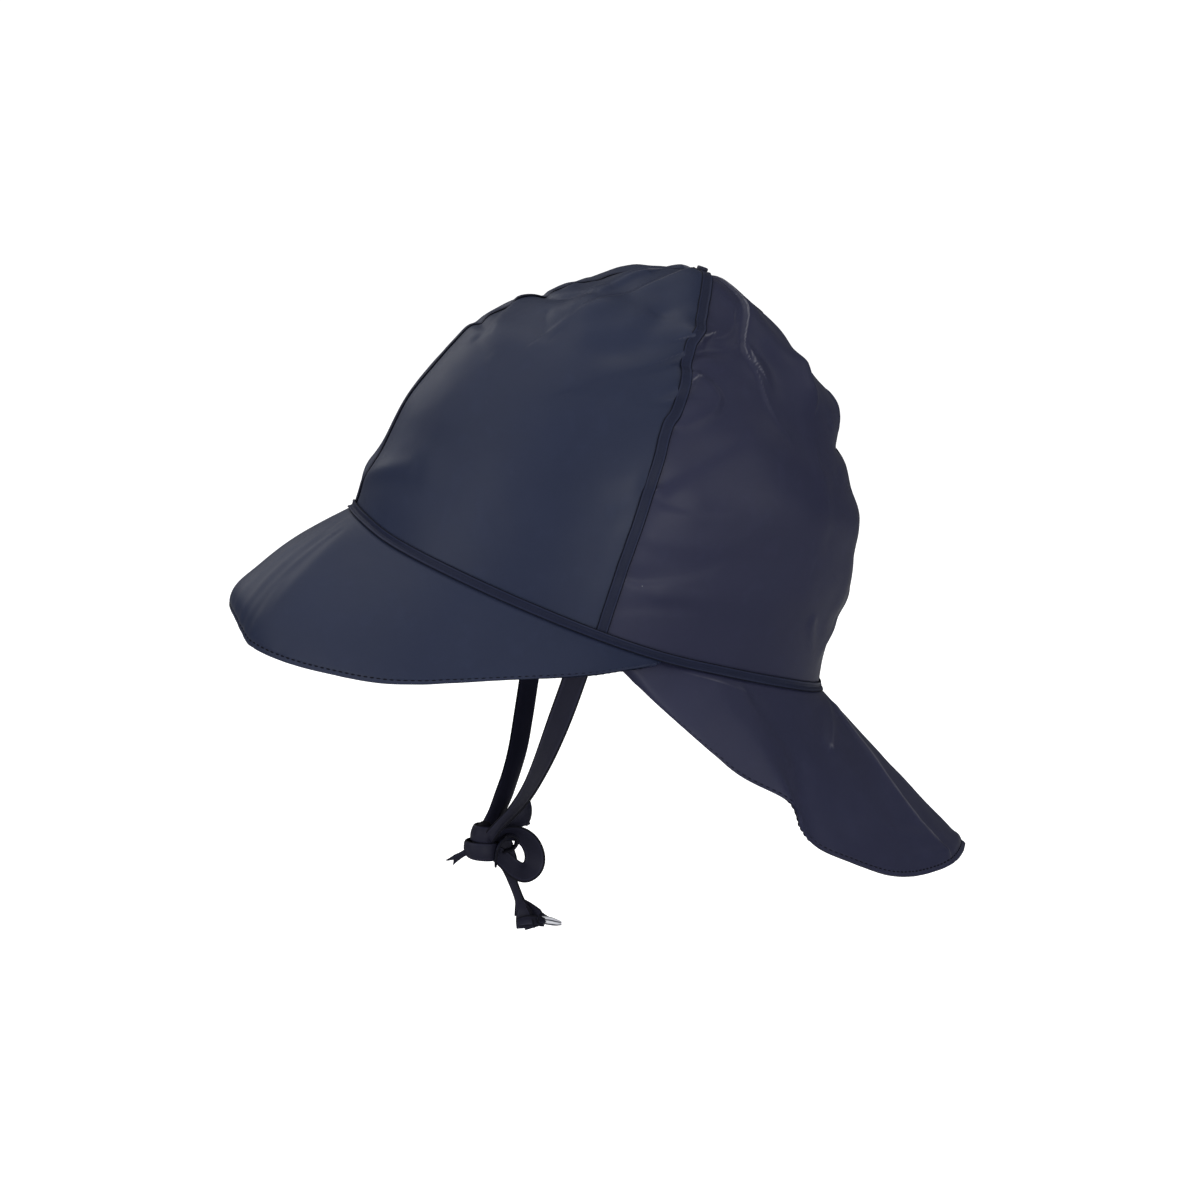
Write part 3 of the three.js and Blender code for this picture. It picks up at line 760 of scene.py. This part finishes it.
def folded(surface, tables, hem_at, swell, twin_of=right_side):
    """The surface with its folds and an uneven swell, which die out towards the hem."""
    BROAD = 24
    FINE = 9

    def dressed(angle, share):
        angle, share = np.broadcast_arrays(np.asarray(angle, float), np.asarray(share, float))
        plain = surface(angle, share)
        mirrored = twin_of(angle)
        twin = surface(mirrored, share)
        normals = outward(surface, mirrored, share)
        fade = rise_between(np.abs(share - hem_at), 0.015, 0.14)
        height = np.zeros(len(plain))
        for table in tables:
            height = height + fold_heights(table, surface, twin, normals)
        height = height + buckle(plain, BROAD, swell) + buckle(plain, FINE, swell * 0.3)
        return plain + outward(surface, angle, share) * (fade * height)[:, None]

    return dressed


crown_surface = folded(plain_crown, (CROWN_FOLDS, CROWN_CREASES), 0, 0.35)

SEAM_DIP = 0.45
SEAM_DIP_WIDTH = 3.5
# Where sharp folds get the painted highlight: lowest and highest share, least and full bend.
GORE_HIGHLIGHT_BENDS = (0.05, 0.95, 0.25, 1.5)


def gore(name, start, end, finish):
    """The cloth between two seams, drawn in along both and trimmed just short of them."""
    COLUMNS = 165
    ROWS = 190
    TRIM = 0.21
    DIP_TOP = 0.93

    def place(u, v):
        trim = np.degrees(TRIM / np.minimum(slice_half(v), slice_front(v)))
        low = start(v) + trim
        high = end(v) - trim
        angle = low + (high - low) * u
        span = np.radians(high - low) * slice_half(v)
        to_seam = np.minimum(u, 1 - u) * span
        dip = SEAM_DIP * np.exp(-((to_seam / SEAM_DIP_WIDTH) ** 2)) * (v < DIP_TOP)
        return crown_surface(angle, v) - outward(plain_crown, angle, v) * dip[:, None]

    piece = grid_piece(name, place, COLUMNS, ROWS, [finish, knit_lining], CLOTH, wear_and_highlight=GORE_HIGHLIGHT_BENDS)
    return piece


def knit(name, colour):
    """Matt knitted backing, whose fine ribs show on the inside of the cloth."""
    finish = Finish(name)
    places = finish.node("ShaderNodeTexCoord", output="Object")
    tone = finish.cloudy(places, 40, 3)
    fuzz = finish.cloudy(places, 2600, 2)
    ribs = finish.node(
        "ShaderNodeTexWave",
        {"bands_direction": "DIAGONAL"},
        {"Vector": places, "Scale": 260, "Distortion": 1.5, "Detail": 1},
    )
    loops = {"Strength": 0.6, "Distance": 0.0002, "Height": 0.6 * ribs + 0.4 * fuzz}
    bump = finish.node("ShaderNodeBump", None, loops)
    base = finish.blend(tone, shade(colour, 0.8), shade(colour, 1.2))
    finish.surface_is(
        Base_Color=finish.blend(0.35 * ribs, base, shade(colour, 1.8)),
        Roughness=0.85 + 0.1 * fuzz,
        Specular_IOR_Level=0.25,
        Sheen_Weight=0.15,
        Sheen_Roughness=0.5,
        Normal=bump,
    )
    return finish.material


knit_lining = knit("knit_lining", (0.013, 0.014, 0.026))
front_cloth = coated_cloth("front_cloth", (0.0125, 0.0176, 0.0405))
rear_cloth = coated_cloth("rear_cloth", (0.0158, 0.0174, 0.0405))


def always(angle):
    return lambda share: np.full_like(share, angle)


def far_ear(share):
    return -ear_angle(share)


for name, start, end, finish, slot in (
    ("crown_front_left", always(0.0), ear_angle, front_cloth, "cloth_front"),
    ("crown_rear_left", ear_angle, always(180.0), rear_cloth, "cloth_rear"),
    ("crown_front_right", far_ear, always(0.0), front_cloth, "cloth_front"),
    ("crown_rear_right", always(-180.0), far_ear, rear_cloth, "cloth_rear"),
):
    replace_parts(gore("cloth_" + name, start, end, finish), name)

# The seam tapes. Strips of the same coated cloth, folded in at both edges and
# stitched down over the seams, so each shows a thin raised ridge along either edge.
TAPE = 0.5
SEAM_TAPE_WIDTH = 4.0
HEM_TAPE_WIDTH = 4.6
EDGE_RIDGE = 0.28
TAPE_WANDER = 0.12

tape_finish = strip_cloth("tape_cloth", (0.0085, 0.0112, 0.0275))


def share_above(distance):
    """The share of the crown's height that lies this far above the hem, close to it."""
    return distance / CROWN_SLICES[1][0] / LAST_SLICE


def ridge(side):
    """The thickness of the folded edges, which shows as a ridge near both."""
    return EDGE_RIDGE * np.exp(-(((np.abs(side) - 0.8) / 0.1) ** 2))


def laid_tape(name, centre, out, width):
    """A tape along a list of places, lying square to the ways out at each."""
    COUNT = len(centre) - 1
    along = unit(np.gradient(centre, axis=0))
    across = unit(np.cross(out, along))
    off = np.cross(along, across)
    wander = [TAPE_WANDER * noise.noise(Vector(point) / 6) for point in centre]

    def place(u, v):
        ring = np.rint(v * COUNT).astype(int)
        side = 2 * u - 1
        drift = np.array(wander)[ring]
        points = centre[ring] + across[ring] * (side * width / 2 + drift)[:, None]
        return points + off[ring] * (ridge(side) + 0.6 * drift)[:, None]

    piece = grid_piece(name, place, 14, COUNT, [tape_finish], TAPE)
    return piece


def lifted(angle, share, lift):
    """Places raised off the crown."""
    out = outward(crown_surface, angle, share)
    return crown_surface(angle, share) + out * np.broadcast_to(lift, share.shape)[:, None]


TAPE_STEPS = 150
TAPE_TUCK = 1.2
TAPE_LIFT = CLOTH / 2 + TAPE / 2 - 0.05
SEAM_TAPE_TOP = 0.965
CROSSING_LIFT = 0.9

# All the seam tapes start a little way in under the hem tape.
tape_foot = share_above(HEM_TAPE_WIDTH / 2 - TAPE_TUCK)
seam_shares = np.linspace(tape_foot, SEAM_TAPE_TOP, TAPE_STEPS + 1)
for name, angle in (("front_seam_tape", 0.0), ("rear_seam_tape", 180.0)):
    angles = np.full_like(seam_shares, angle)
    centre = lifted(angles, seam_shares, TAPE_LIFT - SEAM_DIP)
    out = outward(plain_crown, angles, seam_shares)
    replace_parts(laid_tape("laid_" + name, centre, out, SEAM_TAPE_WIDTH), name)

# The tape from ear to ear runs over the ends of the other two at the top.
ear_shares = np.linspace(tape_foot, 1, TAPE_STEPS + 1)
ear_lift = TAPE_LIFT - SEAM_DIP + CROSSING_LIFT * rise_between(ear_shares, 0.93, 0.97)
left_line = lifted(ear_angle(ear_shares), ear_shares, ear_lift)
right_line = lifted(-ear_angle(ear_shares), ear_shares, ear_lift)
over_ears = np.concatenate([left_line, right_line[::-1]])
ear_line = smooth_line(over_ears[::2], 2 * TAPE_STEPS)
inside_crown = from_hem(0, 0, 20)
ear_out = unit(ear_line - inside_crown)
ear_tape = laid_tape("laid_ear_seam_tape", ear_line, ear_out, SEAM_TAPE_WIDTH)
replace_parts(ear_tape, "ear_seam_tape")

# The hem tape. One longer strip, bent along its middle over the joint where the
# crown meets the peak and the flap, and stitched down above and below it. Its
# ends lap over each other at the middle of the nape.
HEM_GAP = 0.2
TAPE_LAP = 0.7
LAP_TURN = 1.4
HEM_TAPE_WANDER = 0.1


def hem_start(angle):
    """A place on the hem, the way out from it, and the way the sheet below leaves it."""
    flare = np.radians(hem_flare(unsigned(angle)))[..., None]
    turn = np.radians(angle)
    out = unit(from_hem(-np.cos(turn) * slice_half(0), np.sin(turn) * slice_rear(0), 0 * turn))
    down = from_hem(0 * turn, 0 * turn, -1 + 0 * turn)
    return plain_crown(angle, np.zeros_like(angle)), out, down * np.cos(flare) + out * np.sin(flare)


def hem_tape_place(u, v):
    angle = 360 * v - 180
    half = HEM_TAPE_WIDTH / 2
    along = (2 * u - 1) * half
    point, out, way = hem_start(angle)
    up = unit(plain_crown(angle, np.full_like(angle, share_above(half))) - point)
    fold_line = unit(np.cross(out, up))
    out_above = np.cross(up, fold_line)
    out_below = np.cross(fold_line, way)
    turned = rise_between(along, -1.2, 1.2)[:, None]
    middle = unit(out_below * (1 - turned) + out_above * turned)
    lean = np.sum(middle * np.where(along[:, None] > 0, out_above, out_below), axis=1)
    off = CLOTH / 2 + HEM_GAP + TAPE / 2
    wander = np.array([HEM_TAPE_WANDER * noise.noise(Vector(p) / 6) for p in point])
    lap = TAPE_LAP * np.exp(-(((180 - np.abs(angle)) / LAP_TURN) ** 2))
    lift = off / lean + ridge(2 * u - 1) + wander + lap
    below = np.maximum(-along, 0)[:, None] * way
    above = np.maximum(along, 0)[:, None] * up
    return point + below + above + middle * lift[:, None]


hem_tape = grid_piece("laid_hem_tape", hem_tape_place, 16, 480, [tape_finish], TAPE, closed=True)
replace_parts(hem_tape, "hem_tape")

# The nub. Where the tapes cross at the top, their ends are folded under and
# caught down in a small hard lump.
NUB_SIZE = (5, 3.6, 1.8)
NUB_ROUNDING = 0.22
NUB_RISE = 2.4

nub_mesh = bmesh.new()
bmesh.ops.create_cube(nub_mesh, size=1)
bmesh.ops.bevel(nub_mesh, geom=nub_mesh.edges, offset=NUB_ROUNDING, segments=4, profile=0.5,
                affect="EDGES", material=-1)
bmesh.ops.scale(nub_mesh, vec=Vector(NUB_SIZE) * MM, verts=nub_mesh.verts)
nub_tilt = Matrix.Rotation(-HEM_TILT, 3, "X")
bmesh.ops.rotate(nub_mesh, cent=(0, 0, 0), matrix=nub_tilt, verts=nub_mesh.verts)
nub_at = from_hem(0, 0, CROWN_SLICES[-1][0] + NUB_RISE) * MM
bmesh.ops.translate(nub_mesh, vec=Vector(nub_at), verts=nub_mesh.verts)
nub_cloth = coated_cloth("nub_cloth", (0.0105, 0.012, 0.027))
nub = piece_of("folded_nub", nub_mesh, [nub_cloth])
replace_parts(nub, "apex_nub")

# The peak. Two layers of the coated cloth with a stiffener between, which curve
# out over the brow. Its free edge is turned in and topstitched a little inside.
SKIRT_START = 0.9
PEAK_END = 103
PEAK_LENGTH = 40
PEAK_EDGE = (
    # angle, back, side, up, reach
    (0, -119, 0, -43.4, 0.84),
    (4, -118.6, 7, -43.8, 0.83),
    (8, -117.2, 14, -45.2, 0.82),
    (14, -114.9, 23, -47.8, 0.79),
    (20, -112, 31.5, -50, 0.76),
    (33, -101, 46.5, -50.2, 0.68),
    (47, -83.3, 61, -47.2, 0.6),
    (58, -67.3, 71, -43, 0.55),
    (68, -50.3, 77, -36, 0.5),
    (80, -27, 80.5, -26.4, 0.5),
    (90, -4.4, 80, -17.4, 0.5),
    (96, 7.8, 75.8, -12, 0.5),
    (100, 14.4, 72.8, -9, 0.5),
    (103, 18.5, 70.6, -7, 0.5),
    (106, 22.6, 68.4, -5, 0.5),
)
PEAK_FOLDS = (
    (0, 0.17, 12, 0.15, 24, 0.14, 8, 8, 1.8, 0.5),
    (16, 0.94, 20, 0.6, 22, 0.12, 5, 9, 1.1, 0.7),
    (20, 0.95, 34, 0.6, 44, 0.2, 9, 14, -0.7, -0.4),
    (58, 0.9, 60, 0.5, 64, 0.1, 10, 10, -0.5, -0.4),
)
# Fine gathers near the middle, and the pinch where they meet the hem.
PEAK_CREASES = (
    (1, 0.92, 2, 0.5, 3, 0.06, 1.8, 2.4, 0.25, 0.14),
    (4, 0.94, 5, 0.6, 7, 0.1, 1.8, 2.4, 0.3, 0.16),
    (8, 0.95, 9, 0.7, 10, 0.4, 1.6, 2.2, 0.4, 0.1),
    (10, 0.6, 11, 0.35, 12, 0.05, 1.8, 2.2, 0.12, 0.2),
    (12, 0.96, 13, 0.75, 14, 0.5, 1.5, 1.8, 0.45, 0.1),
    (14, 0.45, 15, 0.25, 16, 0.05, 1.8, 2.2, 0.12, 0.2),
    (16, 0.5, 18, 0.3, 20, 0.04, 1.8, 2.2, 0.12, 0.2),
    (6, 1, 7, 0.93, 9, 0.84, 1.3, 1.3, -0.9, -0.3),
    (11, 1, 12, 0.94, 14, 0.86, 1.3, 1.3, -0.8, -0.2),
)
HEM_ROLL = 0.1
ROLL_FROM_EDGE = 0.8
STITCH_GROOVE = 0.2
PUCKER = 0.16
EDGE_ROUNDING = 0.3
STITCH_FROM_EDGE = 1.7
STITCH_PITCH = 2.45
STITCH_SIZE = (1.7, 0.7, 0.5)
STITCH_LIFT = CLOTH / 2 + 0.02


def skirt(rows, inset):
    """A sheet that leaves the hem at the hem's flare and bends down to its free edge."""
    back, side, up, reach = (column(rows, i) for i in range(1, 5))

    def surface(angle, share):
        angle, share = np.broadcast_arrays(np.asarray(angle, float), np.asarray(share, float))
        place = unsigned(angle)
        hand = np.where(np.where(angle > 180, angle - 360, angle) < 0, -1, 1)
        start, out, way = hem_start(angle)
        start = start + way * SKIRT_START - out * inset(place)[:, None]
        edge = from_hem(back(place), hand * side(place), up(place))
        span = np.linalg.norm(start - edge, axis=1)
        bend = start + way * (reach(place) * span)[:, None]
        s = share[:, None]
        return s * s * start + 2 * s * (1 - s) * bend + (1 - s) ** 2 * edge

    return surface


def edged(surface, length):
    """The surface with its turned edge: a slight roll, then a groove under the stitches."""

    def place(angle, share):
        to_edge = share * length
        roll = HEM_ROLL * np.exp(-(((to_edge - ROLL_FROM_EDGE) / 0.6) ** 2))
        groove = STITCH_GROOVE * np.exp(-(((to_edge - STITCH_FROM_EDGE) / 0.5) ** 2))
        points = surface(angle, share)
        uneven = np.array([noise.noise(Vector(point) / 5) for point in points])
        pucker = PUCKER * uneven * np.exp(-((to_edge / 5) ** 2))
        return points + outward(surface, angle, share) * (roll - groove + pucker)[:, None]

    return place


def stitch_row(name, surface, angles, share, lift, finish):
    """Short sunk stitches spaced along a line of the surface."""
    LOOK_AHEAD = 0.2
    line = surface(angles, np.full_like(angles, share))
    normals = outward(surface, angles, np.full_like(angles, share))
    walked = np.concatenate([[0], np.cumsum(np.linalg.norm(np.diff(line, axis=0), axis=1))])
    lengthwise = Matrix.Rotation(math.pi / 2, 3, "Y")

    def reading(values, at):
        return np.array([np.interp(at, walked, values[:, i]) for i in range(3)])

    mesh = bmesh.new()
    for at in np.arange(STITCH_PITCH, walked[-1] - STITCH_PITCH, STITCH_PITCH):
        point = reading(line, at)
        along = unit(reading(line, at + LOOK_AHEAD) - point)
        across = unit(np.cross(reading(normals, at), along))
        up = np.cross(along, across)
        turn = Matrix(np.array([along, across, up]).T.tolist())
        made = bmesh.ops.create_uvsphere(mesh, u_segments=6, v_segments=5, radius=0.5)["verts"]
        bmesh.ops.rotate(mesh, cent=(0, 0, 0), matrix=lengthwise, verts=made)
        bmesh.ops.scale(mesh, vec=Vector(STITCH_SIZE) * MM, verts=made)
        bmesh.ops.rotate(mesh, cent=(0, 0, 0), matrix=turn, verts=made)
        bmesh.ops.translate(mesh, vec=Vector((point + up * lift) * MM), verts=made)
    return piece_of(name, mesh, [finish])


def round_edge(sheet):
    """Takes the sharpness off the cut edge of a sheet."""
    rounding = sheet.modifiers.new("rounded edge", "BEVEL")
    rounding.width = EDGE_ROUNDING * MM
    rounding.segments = 2
    rounding.limit_method = "ANGLE"


def thread(name, colour):
    """Polyester sewing thread with its twist."""
    finish = Finish(name)
    places = finish.node("ShaderNodeTexCoord", output="Object")
    twist = finish.node(
        "ShaderNodeTexWave",
        {"bands_direction": "DIAGONAL"},
        {"Vector": places, "Scale": 1500, "Distortion": 1.0},
    )
    strands = {"Strength": 0.5, "Distance": 0.00005, "Height": twist}
    bump = finish.node("ShaderNodeBump", None, strands)
    finish.surface_is(
        Base_Color=finish.blend(twist, shade(colour, 0.7), shade(colour, 1.3)),
        Roughness=0.7 + 0.2 * twist,
        Specular_IOR_Level=0.1,
        Normal=bump,
    )
    return finish.material


plain_peak = skirt(PEAK_EDGE, np.zeros_like)
folded_peak = folded(plain_peak, (PEAK_FOLDS, PEAK_CREASES), 1, 0.35)
peak_surface = edged(folded_peak, PEAK_LENGTH)


def peak_place(u, v):
    return peak_surface(-PEAK_END + 2 * PEAK_END * u, v**1.5)


peak = grid_piece("cloth_peak", peak_place, 360, 56, [front_cloth, front_cloth], CLOTH)
round_edge(peak)
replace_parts(peak, "peak")

navy_thread = thread("navy_thread", (0.0035, 0.0042, 0.009))
peak_angles = np.linspace(-PEAK_END + 1, PEAK_END - 1, 700)
peak_stitch_share = STITCH_FROM_EDGE / PEAK_LENGTH
for name, lift in (("peak_stitches_top", STITCH_LIFT), ("peak_stitches_under", -STITCH_LIFT)):
    row = stitch_row(name, peak_surface, peak_angles, peak_stitch_share, lift, navy_thread)

# The neck flap. One flared sheet of the coated cloth, which starts under the ends
# of the peak and hangs over the collar, hemmed and topstitched along its free edge.
FLAP_START = 88.5
FLAP_CLEAR = 112
FLAP_LENGTH = 80
UNDER_PEAK = 1.65
FLAP_EDGE = (
    # angle, back, side, up, reach
    (86, -1.5, 65.6, -6.1, 0.4),
    (88.5, 3, 67, -9, 0.4),
    (92, 9.3, 69, -13, 0.4),
    (98, 21, 73, -18.7, 0.4),
    (106, 38.5, 76, -26.2, 0.4),
    (112, 49, 77, -30.5, 0.4),
    (118, 59.5, 77.5, -34.4, 0.42),
    (125, 79.5, 76, -38, 0.45),
    (131, 88.3, 74, -45, 0.5),
    (138, 97, 71, -50.4, 0.5),
    (147, 111.5, 65, -52.3, 0.5),
    (155, 125.8, 57, -53.6, 0.5),
    (161, 136.8, 48, -52.6, 0.5),
    (168, 149.5, 34, -49.3, 0.48),
    (173, 157.5, 22, -46, 0.46),
    (177, 162.5, 10, -43, 0.45),
    (180, 165, 0, -41.5, 0.45),
)
FLAP_FOLDS = (
    (168, 0.6, 167, 0.4, 168, 0.1, 9, 9, 0.8, 0.9),
    (169, 0.98, 168, 0.5, 171.5, 0.06, 8, 2.6, 0.5, 1.3),
    (152, 0.8, 149, 0.55, 146, 0.3, 12, 12, -1.2, -1.2),
    (118, 0.9, 123, 0.55, 128, 0.2, 10, 10, 1, 1),
    (138, 0.5, 136, 0.28, 134, 0.05, 7, 7, -1.5, -1.5),
)
FLAP_CREASES = (
    (169, 0.98, 168, 0.5, 171.5, 0.06, 2.3, 1.9, 1.2, 0.7),
    (166, 0.95, 160, 0.84, 153, 0.69, 4, 2.4, 0.8, 0.5),
    (153, 0.69, 155, 0.74, 159, 0.82, 2.4, 2.4, 0.4, 0.1),
    (124, 0.95, 126, 0.7, 134, 0.5, 4, 3, 0.6, 0.2),
    (160, 0.25, 166, 0.18, 172, 0.16, 3, 3, 0.3, 0.2),
    (180, 0.05, 172, 0.06, 164, 0.1, 2, 1.6, 0.6, 0.2),
)


def flap_inset(place):
    """How far the flap lies inside the peak, down to nothing past the peak's end."""
    return (1 - rise_between(place, PEAK_END + 1, FLAP_CLEAR)) * UNDER_PEAK


plain_flap = skirt(FLAP_EDGE, flap_inset)
folded_flap = folded(plain_flap, (FLAP_FOLDS, FLAP_CREASES), 1, 0.6, unsigned)
flap_surface = edged(folded_flap, FLAP_LENGTH)


def flap_place(u, v):
    return flap_surface(FLAP_START + (360 - 2 * FLAP_START) * u, v**1.5)


# As on the gores, but the flap's wider folds get the painted highlight at a slighter bend.
FLAP_HIGHLIGHT_BENDS = (0.16, 1, 0.06, 0.5)
flap_finishes = [rear_cloth, knit_lining]
flap = grid_piece("cloth_neck_flap", flap_place, 400, 90, flap_finishes, CLOTH, wear_and_highlight=FLAP_HIGHLIGHT_BENDS)
round_edge(flap)
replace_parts(flap, "neck_flap")

flap_angles = np.linspace(FLAP_START + 2, 360 - FLAP_START - 2, 800)
flap_stitch_share = STITCH_FROM_EDGE / FLAP_LENGTH
for name, lift in (("flap_stitches_top", STITCH_LIFT), ("flap_stitches_under", -STITCH_LIFT)):
    row = stitch_row(name, flap_surface, flap_angles, flap_stitch_share, lift, navy_thread)

# The studio. A pale sweep under the hat, broad soft lights at the brow, the side and
# the nape, a large one overhead, and small ones low by the ties and behind the nape.
FLOOR_HEIGHT = -0.16

floor_mesh = bmesh.new()
bmesh.ops.create_grid(floor_mesh, x_segments=1, y_segments=1, size=30)
bmesh.ops.translate(floor_mesh, vec=(0, 0, FLOOR_HEIGHT), verts=floor_mesh.verts)
floor_data = bpy.data.meshes.new("floor")
floor_mesh.to_mesh(floor_data)
floor_mesh.free()
floor = bpy.data.objects.new("floor", floor_data)
collection.objects.link(floor)
paper = Finish("paper")
seen = paper.node("ShaderNodeLightPath")
paper.surface_is(
    Base_Color=(0.6, 0.6, 0.6, 1),
    Roughness=0.9,
    Specular_IOR_Level=0.1,
    Emission_Color=paper.blend(seen, (0, 0, 0, 1), (1, 1, 1, 1)),
    Emission_Strength=1.0,
)
floor_data.materials.append(paper.material)

ROOM_LIGHT = 0.14
ROOM_SEEN = 1.1
world = bpy.data.worlds.new("studio")
world.use_nodes = True
room = world.node_tree.nodes
sight = room.new("ShaderNodeLightPath")
strength = room.new("ShaderNodeMapRange")
strength.inputs["To Min"].default_value = ROOM_LIGHT
strength.inputs["To Max"].default_value = ROOM_SEEN
world.node_tree.links.new(sight.outputs["Is Camera Ray"], strength.inputs["Value"])
world.node_tree.links.new(strength.outputs["Result"], room["Background"].inputs["Strength"])
room["Background"].inputs["Color"].default_value = (1, 1, 1, 1)
bpy.context.scene.world = world

for name, at, size, power in (
    # name, place, width, watts
    ("brow top light", (0.3, -1.2, 1.2), 1.8, 10.5),
    ("side light", (1.5, 0.2, 0.9), 2, 8.2),
    ("brow level light", (0.8, -1.5, 0.15), 1, 8.8),
    ("nape level light", (1, 1.3, 0.25), 1, 6),
    ("nape high light", (1, 1.2, 0.9), 1.2, 2),
    ("top light", (0, 0, 1.6), 2, 8.5),
    ("far brow light", (-1.1, -0.7, 0.75), 0.8, 2.8),
    ("far top light", (-0.6, -0.2, 1.4), 0.8, 2),
    ("low fill", (1.3, 0.1, -0.02), 0.25, 4.5),
    ("nape rim light", (-0.3, 1.4, 1), 0.3, 1.2),
):
    light = bpy.data.lights.new(name, "AREA")
    light.shape = "DISK"
    light.size = size
    light.energy = power
    lamp = bpy.data.objects.new(name, light)
    lamp.location = at
    lamp.rotation_euler = Vector(at).to_track_quat("Z", "Y").to_euler()
    collection.objects.link(lamp)
